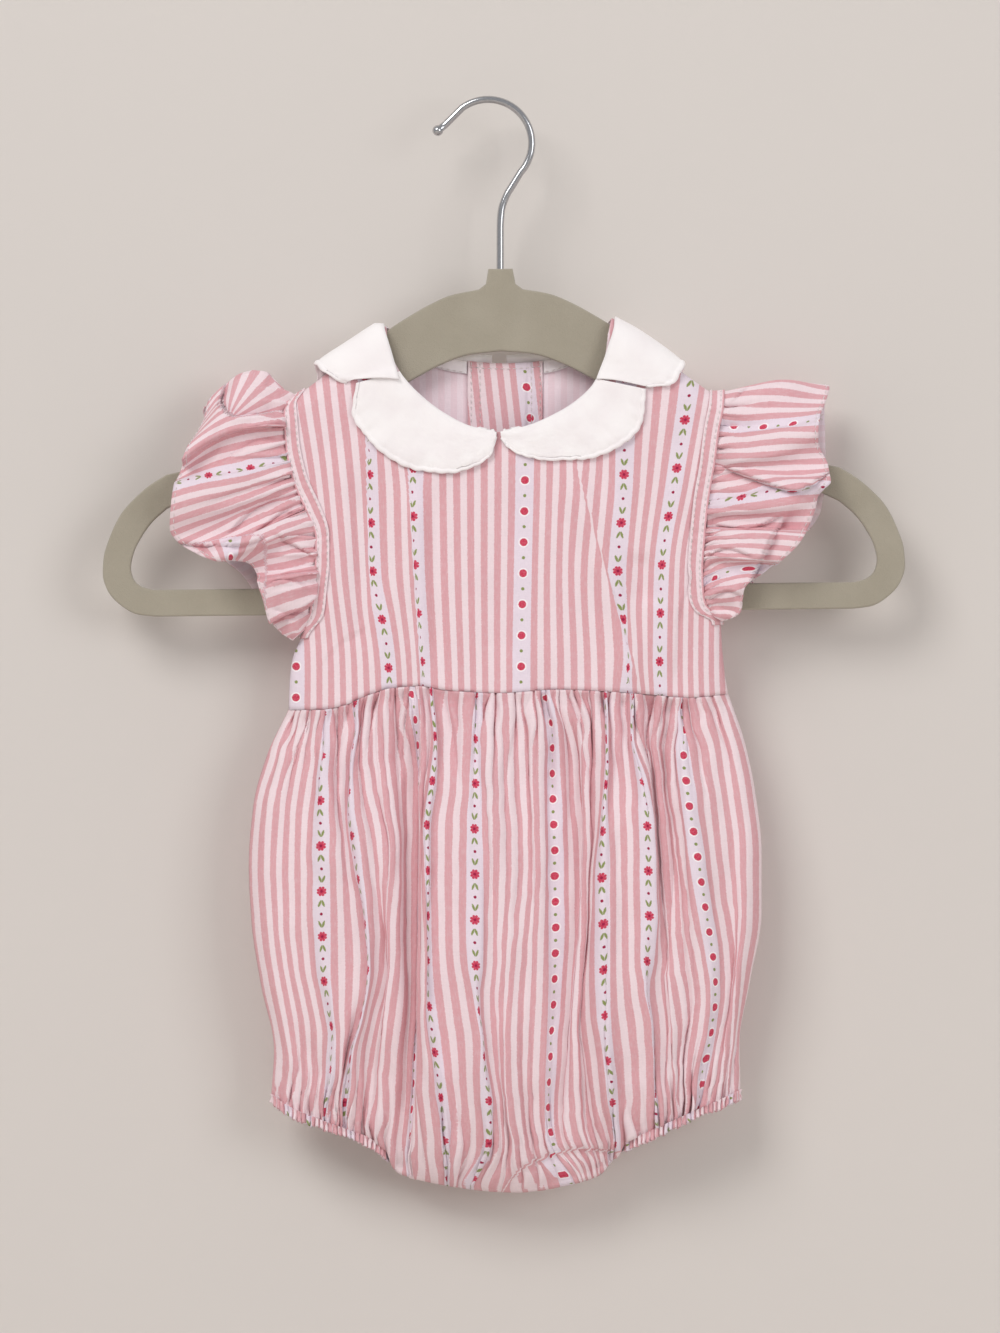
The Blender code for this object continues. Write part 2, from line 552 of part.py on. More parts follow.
# ---------------------------------------------------------------- the bodice
waist_line = smooth(*zip(*WAIST))
hem_line = smooth(*zip(*HEM))
gather_tall = smooth(*zip(*GATHER_TALL))


def front_side(points):
    points = points.copy()
    points[..., 1] = np.minimum(points[..., 1], -SEAM_HALF)
    return points


def back_side(points):
    points = points.copy()
    points[..., 1] = np.maximum(points[..., 1], SEAM_HALF)
    return points


def above_waist(points):
    points = points.copy()
    points[..., 2] = np.minimum(points[..., 2], waist_line(points[..., 0]) - WAIST_HALF)
    return points


def below_waist(points):
    points = points.copy()
    points[..., 2] = np.maximum(points[..., 2], waist_line(points[..., 0]) + WAIST_HALF)
    return points


def overlap_step(x):
    """The back's right half lies behind its left half where they overlap."""
    return (CLOTH + GAP + 0.3) * (1 - ease(PLACKET[1] + 1.0, PLACKET[1] + 13.0, x))


def make_bodice():
    """The front and the two lapped halves of the back. Returns their mid sheets."""
    front = on_front(bodice_panel(NECK_FRONT, 32))
    left = on_back(bodice_panel(NECK_BACK, 16, x_to=PLACKET[1]))
    right = on_back(bodice_panel(NECK_BACK, 16, x_from=PLACKET[0]))
    right[..., 1] += overlap_step(right[..., 0])
    for panel, column, at in ((front, 0, -SEAM_HALF), (front, -1, -SEAM_HALF), (left, 0, SEAM_HALF),
                              (right, -1, SEAM_HALF)):
        panel[UNDERARM_ROW:, column, 1] = at
    sheet("front_bodice", front, CLOTH, keep=lambda p: above_waist(front_side(p)))
    sheet("back_bodice_left", left, CLOTH, keep=lambda p: above_waist(back_side(p)))
    sheet("back_bodice_right", right, CLOTH, keep=lambda p: above_waist(back_side(p)))
    return front, left, right


def make_neck_inside(backs):
    """The striped facing of the placket and the white binding, on the inside of the back."""
    neck = smooth(*zip(*NECK_BACK))
    inwards = CLOTH / 2 + GAP + TRIM / 2
    xs = np.linspace(*FACING, 5)
    top, rows = neck(xs), np.linspace(0, 1, 9)[:, None]
    flat = np.stack([np.broadcast_to(xs, (9, 5)), top + (FACING_END - top) * rows], axis=-1)
    sheet("placket_facing", settle(on_back(flat), inwards, backs), TRIM)
    for name, start, end in (("neck_binding_left", NECK_BACK[0][0], FACING[0] - 0.8),
                             ("neck_binding_right", FACING[1] + 0.8, NECK_BACK[-1][0])):
        xs = np.linspace(start, end, 9)
        top = neck(xs) + 0.4
        flat = np.stack([np.stack([xs, top + BINDING_WIDE * row], axis=-1) for row in (0, 0.5, 1)])
        sheet(name, settle(on_back(flat), inwards, backs), TRIM, "white_cotton", keep=back_side)


def make_buttons():
    sides = 14
    for number, drop in enumerate(BUTTON_DROPS, 1):
        start = float(depth(0.0, drop, True) + overlap_step(0.0)) + CLOTH / 2 + GAP
        shape = ((0.0, 1.0), (BUTTON_THICK - 0.5, 1.0), (BUTTON_THICK, 0.85), (BUTTON_THICK - 0.4, 0.6))
        bm = bmesh.new()
        loops = []
        turn = np.linspace(0, 2 * math.pi, sides, endpoint=False)
        for out, size in shape:
            ring = np.stack([np.cos(turn) * BUTTON_R * size, np.full(sides, start + out),
                             drop + np.sin(turn) * BUTTON_R * size], axis=1)
            loops.append(add_loop(bm, row_frame(ring)))
        skin(bm, loops, True)
        bm.faces.new(loops[0])
        bm.faces.new(loops[-1])
        finish_mesh(f"button_{number}", bm, "button")


# ---------------------------------------------------------------- armholes, ruffles and collar
def around_armhole(front, back, left):
    """The bodice's own points beside an armhole, from the front underarm over to the back one."""
    columns = slice(0, 3) if left else slice(-3, None)
    low = UNDERARM_ROW + 1
    down_front, down_back = front[:low, columns], back[:low, columns]
    top = (down_front[:1] + down_back[:1]) / 2
    return np.concatenate([down_front[:0:-1], top, down_back[1:]])[:, ::-1]


def make_band(name, strip, under):
    """The bias band stitched on inside the armhole's edge, made from the bodice's points."""
    lie = CLOTH / 2 + GAP + TRIM / 2 + 0.15
    sheet(name, settle_over(strip, lie, under), TRIM)


def make_ruffle(name, strip, left):
    """The gathered strip that stands out from the armhole's edge."""
    table = RUFFLE_LEFT if left else RUFFLE_RIGHT
    hem = columns_of(table)
    share = np.linspace(*RUFFLE_SPAN, RUFFLE_WAVES * 4 + 1)
    edge_line, inner_line = (strip[:, -1], strip[:, -2]) if left else (strip[:, 0], strip[:, 1])
    beyond = edge_line - inner_line
    beyond /= np.linalg.norm(beyond, axis=1, keepdims=True)
    start = along(edge_line + beyond * RUFFLE_START, share, straight=True)
    edge = np.stack([curve(share) for curve in hem], axis=1)
    reach = np.linalg.norm(edge - start, axis=1, keepdims=True)
    near_top = 1 - ease(0.0, 0.13, np.abs(share - 0.5))
    rows = []
    for r in np.linspace(0, 1, 5) ** 0.9:
        row = start + (edge - start) * r
        row[:, 1] += np.where(share < 0.5, -1, 1) * 3.0 * math.sin(math.pi * r) * (1 - near_top)
        row[:, 2] -= (RUFFLE_LIFT[0] if left else RUFFLE_LIFT[1]) * math.sin(math.pi * r) * near_top
        rows.append(row)
    grid = np.stack(rows)
    if not left:
        grid = grid[:, ::-1]
        share = share[::-1]
    wave = np.sin((share - RUFFLE_SPAN[0]) / (RUFFLE_SPAN[1] - RUFFLE_SPAN[0]) * RUFFLE_WAVES * 2 * math.pi)
    ends = ease(0.0, 0.05, share - RUFFLE_SPAN[0]) * ease(0.0, 0.05, RUFFLE_SPAN[1] - share)
    tall = np.linspace(RUFFLE_TALL[0], RUFFLE_TALL[1], 5)[:, None] * wave * ends
    size = np.minimum(1, reach[:, 0] / 25)
    grid = grid + normals(grid) * (tall * (size if left else size[::-1]))[..., None]
    sheet(name, grid, CLOTH)


def neck_points(left, count):
    """The front neckline from its centre out to where the petal ends."""
    end = PETAL_END[0] if left else PETAL_END[1]
    neck = [p for p in NECK_FRONT if (p[0] < -2.5 if left else p[0] > -1.5) and abs(p[0]) < abs(end)]
    neck = [(-2.6, 146.4) if left else (-1.1, 146.4), *(reversed(neck) if left else neck)]
    line = smooth(*zip(*NECK_FRONT))
    neck.append((end, float(line(end))))
    return along(neck, np.linspace(0, 1, count))


def settle_over(grid, clear, under):
    """settle() for a sheet that passes over the shoulder: fronts, then backs, lie under it."""
    fronts, backs = under
    for _ in range(2):
        grid = settle(grid, clear, fronts)
        grid = settle(grid, clear, [back[:, ::-1] for back in backs])
    return grid


def make_collar(front, backs):
    lie = CLOTH / 2 + GAP + COLLAR / 2 + 0.1
    on_top = []
    for name, table, left in (("collar_front_left", PETAL_LEFT, True), ("collar_front_right", PETAL_RIGHT, False)):
        share = np.linspace(0, 1, 15)
        inner = neck_points(left, 15)
        outer = np.stack([curve(share) for curve in columns_of(table)], axis=1)
        flat = np.stack([inner + (outer - inner) * r for r in np.linspace(0, 1, 5)])
        flat = flat[:, ::-1] if left else flat
        grid = settle(on_front(flat), lie, [front])
        sheet(name, grid, COLLAR, "white_cotton", keep=front_side)
        on_top.append(moved_out(grid, (COLLAR - CLOTH) / 2))
    rows = np.array(PETAL_BACK)
    for name, left in (("collar_back_left", True), ("collar_back_right", False)):
        line = rows if left else rows * (-1, 1, -1, 1) + (PETAL_BACK_SHIFT, 0, PETAL_BACK_SHIFT, 0)
        fine = along(line, PETAL_SHARES)
        flat = np.stack([fine[:, :2] + (fine[:, 2:] - fine[:, :2]) * r for r in np.linspace(0, 1, 5)])
        grid = over_shoulder(flat[..., 0], flat[..., 1])
        grid = grid if left else grid[:, ::-1]
        grid = settle_over(grid, lie, ([front, *on_top], backs))
        sheet(name, grid, COLLAR, "white_cotton")


# ---------------------------------------------------------------- the bubble and its leg casings
def leg_depth(x):
    """Half depth of the hem at x: open at the legs, closed along the crotch."""
    total = np.zeros_like(np.asarray(x, float))
    for start, end in LEG_SPAN:
        t = np.clip((x - start) / (end - start), 0, 1)
        total = total + LEG_DEEP * np.maximum(1 - np.abs(2 * t - 1) ** 2.6, 0) ** (1 / 2.6)
    return total


def leg_share(x):
    """1 where a casing hangs below the hem, 0 along the crotch."""
    (_, left_in), (right_in, _) = LEG_SPAN
    return (1 - ease(left_in - 2.8, left_in + 0.8, x)) + ease(right_in - 0.8, right_in + 2.8, x)


def make_bubble(name, back, columns, shares):
    left, right, deep_front, deep_back = columns_of(BUBBLE)
    lines, cloth, folds = ((BACK_LINES, BACK_CLOTH, BACK_FOLD) if back
                           else (FRONT_LINES, FRONT_CLOTH, FRONT_FOLD))
    line_curves = columns_of(lines)
    u = np.linspace(0, BODY_WIDE, columns + 1)
    closer = np.sin(math.pi * np.clip(u / 24, 0, 0.5)) * 24
    u = np.where(u < 12, closer * 0.5, u)
    grid = np.zeros((len(shares), columns + 1, 3))
    top_x = bottom_x = None
    xs = []
    for v in shares:
        knots = [float(left(v)), *(float(c(v)) for c in line_curves), float(right(v))]
        xs.append(smooth(cloth, knots)(u))
    xs = np.stack(xs)
    for i, v in enumerate(shares):
        x = xs[i]
        top, bottom = waist_line(xs[0]), hem_line(xs[-1]) - leg_share(xs[-1]) * (LEG_BAND_TALL + LEG_GAP)
        drop = top + (bottom - top) * v
        edge_left, edge_right = float(left(v)), float(right(v))
        reach = np.abs(2 * (x - edge_left) / (edge_right - edge_left) - 1)
        section = np.maximum(1 - reach ** BUBBLE_POWER, 0) ** (1 / BUBBLE_POWER)
        deep = float((deep_back if back else deep_front)(v)) * section
        tuck = 1 - math.sqrt(max(0.0, 1 - max(0.0, (v - TUCK_FROM) / (1 - TUCK_FROM)) ** 2))
        deep = deep + (leg_depth(x) - deep) * tuck
        groove = np.zeros_like(x)
        for start, end, tall in zip(cloth, cloth[1:], folds):
            t = np.clip((u - start) / (end - start), 0, 1)
            groove += tall * np.sin(math.pi * t) ** 2
        body = float(ease(0.0, 0.2, v) * (1 - 0.75 * ease(0.8, 1.0, v)))
        inwards = np.minimum(groove * body * section, np.maximum(deep - 3.0, 0) * 0.7)
        ripple = np.sin(u / BODY_WIDE * GATHERS * 2 * math.pi) * np.minimum(section * 1.6, 1)
        tall = float(gather_tall(v))
        deep = np.maximum(deep - inwards + ripple * tall * (1 - 0.8 * tuck * (1 - leg_share(x))), 0)
        deep = deep + SEAM_HALF
        grid[i] = np.stack([x, deep if back else -deep, drop], axis=-1)

    def keep(points):
        points = below_waist(back_side(points) if back else front_side(points))
        x = points[..., 0]
        floor = hem_line(x) - leg_share(x) * (LEG_BAND_TALL + LEG_GAP)
        points[..., 2] = np.minimum(points[..., 2], floor + 0.6 * (1 - leg_share(x)))
        return points

    sheet(name, grid, CLOTH, keep=keep)


def make_casing(name, start, end):
    waves = 30
    count = waves * 2
    turn = np.linspace(0, 2 * math.pi, count, endpoint=False)
    middle, half = (start + end) / 2, (end - start) / 2 - 0.6
    power = 2 / 2.6
    x = middle - half * np.sign(np.cos(turn)) * np.abs(np.cos(turn)) ** power
    y = -LEG_DEEP * np.sign(np.sin(turn)) * np.abs(np.sin(turn)) ** power
    flat = np.stack([x, y], axis=1)
    run = np.roll(flat, -1, axis=0) - np.roll(flat, 1, axis=0)
    run /= np.linalg.norm(run, axis=1, keepdims=True)
    normal = np.stack([-run[:, 1], run[:, 0]], axis=1)
    flat = flat + normal * (CASING_TALL * np.where(np.arange(count) % 2, 1, -1))[:, None]
    rows = []
    for r in (0.0, 1.0):
        drop = hem_line(flat[:, 0]) - LEG_BAND_TALL * (1 - r)
        rows.append(np.stack([flat[:, 0], flat[:, 1], drop], axis=1))
    grid = np.stack(rows)

    def keep(points):
        points = points.copy()
        low = hem_line(points[..., 0])
        points[..., 2] = np.clip(points[..., 2], low - LEG_BAND_TALL, low)
        return points

    sheet(name, grid, TRIM, keep=keep, ring=True)


# ---------------------------------------------------------------- build
for item in list(bpy.data.objects):
    bpy.data.objects.remove(item)
romper = bpy.data.collections.new("baby_romper_on_hanger")
bpy.context.scene.collection.children.link(romper)
materials = {}
for label, (colour, roughness, metallic) in COLOURS.items():
    made = bpy.data.materials.new(label)
    made.use_nodes = True
    shader = made.node_tree.nodes["Principled BSDF"]
    shader.inputs["Base Color"].default_value = (*colour, 1.0)
    shader.inputs["Roughness"].default_value = roughness
    shader.inputs["Metallic"].default_value = metallic
    materials[label] = made

make_hanger()
make_hook()
front_sheet, left_sheet, right_sheet = make_bodice()
back_sheets = [left_sheet, right_sheet]
make_neck_inside(back_sheets)
make_buttons()
for side_name, is_left in (("left", True), ("right", False)):
    beside = around_armhole(front_sheet, left_sheet if is_left else right_sheet, is_left)
    make_band(f"armhole_band_{side_name}", beside[1:-1], ([front_sheet], back_sheets))
    make_ruffle(f"sleeve_ruffle_{side_name}", beside, is_left)
make_collar(front_sheet, back_sheets)
make_bubble("front_body", False, 96, FRONT_ROWS)
make_bubble("back_body", True, 60, BACK_ROWS)
(left_out, left_in), (right_in, right_out) = LEG_SPAN
make_casing("leg_casing_left", left_out, left_in - CASING_SHORT)
make_casing("leg_casing_right", right_in + CASING_SHORT, right_out)
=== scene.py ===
"""Looks of a baby's bubble romper on a child's slim hanger.

The forms repeat part.py's tables and functions with far more points. The tables are in
millimetres in the garment's own terms: x runs from the hanger's centre line, y is the depth
(minus is the front), and drop runs down from the peg. row_frame() turns them into metres.
Every cloth piece is a thin closed shell round a sheet of points. Its UV map "cloth" holds the
place on the flat cloth in metres, and the print is worked out from that in the material.
"""

import math
from functools import reduce

import bmesh
import bpy
import numpy as np
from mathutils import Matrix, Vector
from mathutils.bvhtree import BVHTree


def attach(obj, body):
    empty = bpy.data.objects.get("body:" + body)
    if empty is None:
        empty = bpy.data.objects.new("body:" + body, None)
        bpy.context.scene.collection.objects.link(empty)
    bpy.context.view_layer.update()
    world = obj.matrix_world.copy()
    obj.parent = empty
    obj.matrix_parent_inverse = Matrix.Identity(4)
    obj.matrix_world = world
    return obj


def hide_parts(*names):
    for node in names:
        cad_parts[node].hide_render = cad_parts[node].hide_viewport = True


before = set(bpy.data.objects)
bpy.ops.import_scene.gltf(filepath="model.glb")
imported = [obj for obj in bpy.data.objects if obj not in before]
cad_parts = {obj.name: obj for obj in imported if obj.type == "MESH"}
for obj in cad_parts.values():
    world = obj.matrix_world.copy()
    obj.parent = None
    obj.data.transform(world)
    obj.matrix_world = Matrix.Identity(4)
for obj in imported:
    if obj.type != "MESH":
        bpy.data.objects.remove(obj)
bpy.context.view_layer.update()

# ---------------------------------------------------------------- driving sizes, in millimetres
MM = 0.001
CENTRE_X = 6.5
PIXEL = 0.444  # millimetres
CENTRE_PIXEL = (502.7, 102.9)  # of the photograph, at x 0 and drop 0
HANGER_TILT = math.radians(0.65)
CLOTH = 1.4  # the wall of the CAD's cloth
FINE_CLOTH = 0.7  # the wall of the cloth that shows
GAP = 0.3
TRIM_LIES = FINE_CLOTH / 2 + GAP + FINE_CLOTH / 2  # between the mid walls of a trim and its cloth
SETTLE_REACH = 12.0  # how far from a sheet settled() looks for the ones under it
SETTLE_SUNK = 2.5  # the deepest that a point may start inside them
SETTLE_DONE = 0.02

HANGER_THICK = 5.0
HANGER_EDGE = 0.9
WIRE_R = 1.6
BALL_R = 2.4
HOOK_R = 19.4
STEM_X = -1.1
BOSS_TOP = 73.7
BOSS_HOLE_DEEP = 8.0
BOSS = ((5.4, BOSS_TOP), (6.6, 80.4))
HOOK_TURN = (132, -37)  # degrees round the bend, from the stem to the tip
HOOK_STEM = (
    (STEM_X, BOSS_TOP + BOSS_HOLE_DEEP - 1.0), (STEM_X, 64.0), (STEM_X, 55.7), (-0.6, 48.0),
    (1.6, 41.2), (4.6, 36.2))
HOOK_TIP = ((-25.6, 9.7), (-28.8, 12.2))  # the end of the wire and the middle of its ball
TILT_DROP = 160.0  # the hanger's tilt turns about this drop

RIDGE_CLEAR = 2.8  # the shoulders' cloth lies this far over the hanger's arms
RIDGE_ROUND = 10.0
RIDGE_ROLL = 0.9  # the way over the ridge, as a share of a round quarter's
RIDGE_BLEND = 1.5
LEFT_LOWER = 4.0  # the left shoulder may reach this much lower
SHOULDER_LOWEST = 129.0
SECTION_POWER = 3.0  # how square the bodice's section is: 2 is an ellipse
SEAM_HALF = 0.02  # half the gap between front and back
WAIST_HALF = 0.04
LINE_STEPS = 12  # pieces that a fold's line is read in
SHOULDER_POINTS = 73
ROW_STEPS = 8  # rows of points in each gap of BODICE_ROWS

BODY_WIDE = 356.0  # each half of the bubble, across the flat cloth
UNDERARM = 239.5
RIGHT_UNDERARM = 230.5

# The hanger's right half about its centre line, as (x, drop).
ARM_MIDDLE = (0, 82.4)
ARM_TOP = (
    (9.8, 82.8), (21.6, 85), (31.6, 89.2), (41.6, 94.8), (49.2, 99.6), (60, 107.8), (70, 115.8),
    (80, 123.9), (90, 131.2), (100, 137.7), (115, 147), (126, 153.5))
ARM_NOTCH = ((129.5, 158), (134, 160.2))
ARM_END = (
    (149.3, 163.4), (156.1, 167.5), (163, 173.2), (169.7, 180.6), (174.6, 190.4), (177.6, 200),
    (178.1, 207.4), (175.8, 214.9), (169.9, 221.4), (162.8, 225.3), (155, 226.3))
ARM_UNDER = (
    (0, 110.2), (14, 111.6), (27, 116), (39, 122.2), (51, 129), (75, 141.6), (100, 154.4),
    (125, 166.8), (149.3, 178.5), (156.1, 184.6), (160.8, 191.1), (164.2, 197.9), (165.6, 204.7),
    (164.4, 209.5), (160.8, 212.9), (155.5, 214.4))

# The bodice's edges as (x, drop). NECK_SIDE is where the neck meets the shoulders.
NECK_FRONT = (
    (-51, 107.7), (-47.5, 116.1), (-43.9, 122), (-37.3, 129.1), (-26.1, 137.8), (-14.2, 143.8),
    (-2, 146.4), (10.8, 143.6), (24.1, 137.8), (32.3, 132.6), (39.2, 126.2), (43, 119.7),
    (46.4, 110))
NECK_BACK = (
    (-46, 104.6), (-36, 110), (-20, 114.4), (0, 116), (20, 114.4), (34, 109.8), (43.5, 104))
NECK_SIDE = (-52, 48.5)

ARMHOLE_LEFT = (
    (-97, 138), (-96, 153), (-93, 168), (-87.3, 181.3), (-82.9, 194), (-83, 206), (-84.5, 220),
    (-86.2, 231))
ARMHOLE_RIGHT = (
    (97.8, 136), (96.2, 144), (93.6, 162.4), (91.2, 176.6), (89.6, 191.9), (88.5, 207), (89, 219),
    (91.5, 226))
SHOULDER_TIP = (-93, 98.5)

WAIST = (
    (-94.7, 269.4), (-82, 269.4), (-70.1, 267.4), (-60.5, 263.2), (-49.7, 259.8), (-36.1, 258.8),
    (-25.9, 260.6), (-2.1, 261.9), (23.4, 260.4), (42, 261), (65.8, 262.7), (82.7, 264),
    (99.8, 262.4))
HEM = (
    (-102.4, 444.5), (-94.4, 449.6), (-81.7, 454.8), (-69.7, 459.2), (-59.8, 463), (-52, 469),
    (-44.9, 475.6), (-34.3, 478.6), (-21.6, 481), (-3.2, 483.2), (6.2, 483.5), (17.2, 482.6),
    (28.1, 480.4), (42.2, 476.4), (47.5, 471), (54.7, 465.4), (66.6, 459.6), (79.8, 453.6),
    (92, 448.2), (105.2, 442.6))

# The body's flattened ring: drop, left x, right x, front depth, back depth.
RING = (
    (70, -132, 136, 7.6, 7.2), (95, -124, 128, 7.8, 7.4), (130, -118, 122, 8.4, 7.8),
    (180, -108, 112, 9.2, 8.6), (210, -101, 106, 10, 9), (223, -95.6, 100.4, 10.2, 9),
    (231, -92.2, 96.4, 10.4, 9), (239.5, -90, 97, 10.6, 9), (243, -92, 97.2, 10.8, 9),
    (255, -94.2, 98.5, 11.2, 9.4), (270, -94.8, 100.4, 12, 10))

# The bubble's outline: share of the way down, left x, right x, front depth, back depth.
BUBBLE = (
    (0, -94.7, 99.8, 11.9, 9.9), (0.12, -104.4, 107, 16.5, 13.5), (0.25, -110.4, 111.8, 21.5, 17),
    (0.4, -112.4, 114.6, 25, 19.5), (0.55, -111.2, 114.6, 26.5, 20.5),
    (0.72, -106.8, 109.6, 26, 20), (0.88, -101.2, 104.8, 23, 18), (1, -102.4, 105.2, 20, 16))

# How deep the front sinks in its folds: cloth across, depth.
FRONT_SUNK = (
    (0, 0), (17, 2.5), (34, 0.4), (45, 3), (56, 1.2), (68, 3.2), (84, 8.4), (97, 12.4), (105, 12.6),
    (134, 3.2), (144, 1.2), (157, 2.4), (168, 0.2), (180, 1.8), (196, 5.8), (209, 9.4), (219, 11),
    (236, 12), (250, 5), (258, 0.6), (269, 3), (280, 0.6), (292, 3.6), (304, 6.8), (316, 3.4),
    (325, 0.6), (341, 2.8), (BODY_WIDE, 0))
# Cloth laid inside a fold, beside the ribbon whose right edge is its start, where there is no
# room for it outside: from, then the marks that come out of the fold first.
FRONT_LAPPED = (105, 118, 126, 134)
LAPPED_APART = 8.0  # between those marks where there is room
LAPPED_LEAST = 0.13  # and where there is none
# The front's ribbons as the picture shows them: cloth, then rows of down, across (both in the
# photograph's pixels) and how wide the ribbon looks there. A flat one is 18 wide.
FRONT_RIBBONS = (
    (34, ((700, 327, 5), (737, 327, 8), (784, 323, 12), (850, 322.5, 17), (930, 323.5, 17),
     (970, 325, 14), (1000, 328.5, 11), (1035, 333, 8), (1065, 332, 9), (1110, 326, 7))),
    (56, ((700, 357, 7), (720, 357, 4), (772, 352, 2.5), (807, 352, 7), (840, 355.5, 10),
     (882, 362, 7), (922, 367, 4), (967, 370, 2), (1020, 362, 1.5), (1055, 352, 4), (1090, 348, 9),
     (1120, 344, 6))),
    (101, ((690, 413, 7), (723, 416, 9), (746, 418, 5), (780, 419, 1.2), (1000, 417, 1.2),
     (1065, 415, 5), (1150, 408, 4))),
    (146, ((693, 431, 2.5), (740, 436, 2.5), (784, 433, 6), (828, 427, 7), (873, 428, 5),
     (967, 430, 6), (1007, 431.5, 11), (1066, 439, 12), (1140, 446, 10), (1165, 447, 6))),
    (168, ((693, 478, 8), (737, 476, 10), (784, 475, 13), (831, 474.5, 16), (922, 474.5, 17),
     (967, 475.4, 14), (985, 476, 7), (1030, 481.5, 3), (1062, 483.5, 7), (1098, 487, 11),
     (1135, 488, 10), (1178, 470, 8))),
    (213, ((697, 546, 9), (727, 552, 11), (771, 553.5, 13.5), (823, 555, 16), (923, 556, 16.5),
     (978, 555, 14), (1044, 551.5, 11), (1098, 549, 10), (1130, 551, 9), (1168, 571, 11),
     (1185, 577, 9))),
    (258, ((697, 605, 2), (759, 606.5, 2), (805, 604, 4), (829, 603.5, 8), (876, 602.6, 14),
     (964, 602, 14), (1007, 603, 12), (1041, 607, 10), (1099, 613, 9), (1130, 617, 6))),
    (280, ((693, 631, 2), (738, 632, 2), (781, 641.5, 9), (828, 646, 15), (919, 648, 16),
     (963, 646.6, 14), (985, 646, 6), (1030, 651.5, 2), (1071, 653.6, 2), (1124, 657, 6))),
    (325, ((697, 681, 3), (722, 681, 6), (749, 682.5, 13), (805, 688.5, 15), (908, 703, 14),
     (955, 710.5, 13), (998, 714, 9), (1035, 710.5, 10), (1075, 702.5, 11), (1115, 697, 7))))
RIBBON_HALF = 4.0
# The back's cloth marks, then the share of the way down and the x of each inner mark there, and
# how deep the folds between the marks are.
BACK_CLOTH = (0, 38, 72, 110, 152, 188, 226, 268, 312, BODY_WIDE)
BACK_LINES = (
    (0, -76, -57, -35, -12, 8, 30, 53, 77), (0.5, -88, -65, -41, -12, 9, 34, 62, 90),
    (1, -80, -62, -40, -14, 12, 36, 60, 84))
BACK_FOLDS = tuple(zip(BACK_CLOTH, BACK_CLOTH[1:], (3.0, 6.0, 8.0, 7.0, 6.5, 8.5, 7.5, 5.5, 3.0)))

# The ruffles' hems: share of the armhole from its front foot to its back one, x, depth, drop.
RUFFLE_LEFT = (
    (0.03, -93, -5, 238.5), (0.08, -101.5, -10, 233), (0.14, -106, -13, 218), (0.2, -112, -15, 206),
    (0.28, -131, -17, 202), (0.36, -147, -18, 189), (0.42, -145, -16, 170), (0.46, -137, -13, 150),
    (0.5, -131, -2, 128.5), (0.55, -132, 11, 142), (0.62, -140, 15, 162), (0.72, -139, 16, 182),
    (0.82, -126, 15, 201), (0.91, -106, 12, 220), (0.97, -93, 5, 238.5))
RUFFLE_RIGHT = (
    (0.03, 97, -6, 230), (0.08, 105, -10, 226.5), (0.14, 107, -13, 216), (0.2, 117, -15, 208),
    (0.28, 132, -17, 194), (0.345, 138.2, -18, 180), (0.365, 139.2, -18, 175),
    (0.385, 144.6, -17, 169), (0.41, 144, -16, 161), (0.435, 139.4, -14.5, 150.5),
    (0.465, 140.2, -12, 140), (0.5, 145, 0, 125.6), (0.55, 143.5, 12, 141), (0.62, 144, 16, 160),
    (0.72, 142, 16, 180), (0.82, 128, 15, 198), (0.91, 112, 12, 213), (0.97, 97, 6, 228.5))
RUFFLE_SPAN = (0.03, 0.97)
RUFFLE_PLEATS = (6.2, 19.0, 2.6, 2.4)  # pitch, reach, depth, hidden cloth
RUFFLE_STITCHED = 0.94  # the hem's stitches, as a share of the way down
# Waves round a ruffle: count over the whole strip, sharpness, then their strength at these shares
# of the way down.
RUFFLE_FOLD_AT = (0, 0.28, 1)
RUFFLE_FOLDS = ((60, 0.7, 1, 0.4, 0), (23, 0.5, 0.5, 0.8, 0.3), (9, 0.2, 0.1, 0.5, 1))
# Where the strips lie: share of the armhole at the seam and at the hem, and the cloth there.
LEFT_CLOTH = (
    (0.03, 0.03, -82), (0.078, 0.088, -68), (0.084, 0.094, -58), (0.138, 0.162, -46),
    (0.144, 0.168, -36), (0.262, 0.28, -2), (0.27, 0.296, 10), (0.368, 0.42, 49), (0.425, 0.44, 65),
    (0.433, 0.445, 77), (0.55, 0.49, 113), (0.97, 0.97, 300))
RIGHT_CLOTH = (
    (0.03, 0.03, -140), (0.1, 0.2, -108), (0.206, 0.296, -70), (0.214, 0.304, -56),
    (0.258, 0.368, -41), (0.42, 0.46, 4), (0.5, 0.5, 27), (0.6, 0.58, 62), (0.97, 0.97, 216))

# The front petals' outer edges: share of the way from the neck's centre, x, drop. PETAL_END is
# the x where they end at the neck.
PETAL_LEFT = (
    (0, -3, 149), (0.12, -5.2, 156.5), (0.25, -13, 162), (0.4, -24.5, 164.8), (0.55, -38, 163.4),
    (0.68, -51, 157.6), (0.8, -60.5, 148.2), (0.9, -66.6, 138), (1, -64.8, 124.8))
PETAL_RIGHT = (
    (0, -0.6, 149.4), (0.12, 2.6, 153.6), (0.25, 11, 157.4), (0.4, 22.5, 159.3),
    (0.55, 34.5, 158.9), (0.68, 45.8, 155.8), (0.8, 55, 150.6), (0.9, 61.9, 141.4),
    (1, 63.4, 127.4))
PETAL_END = (-45.6, 41.4)
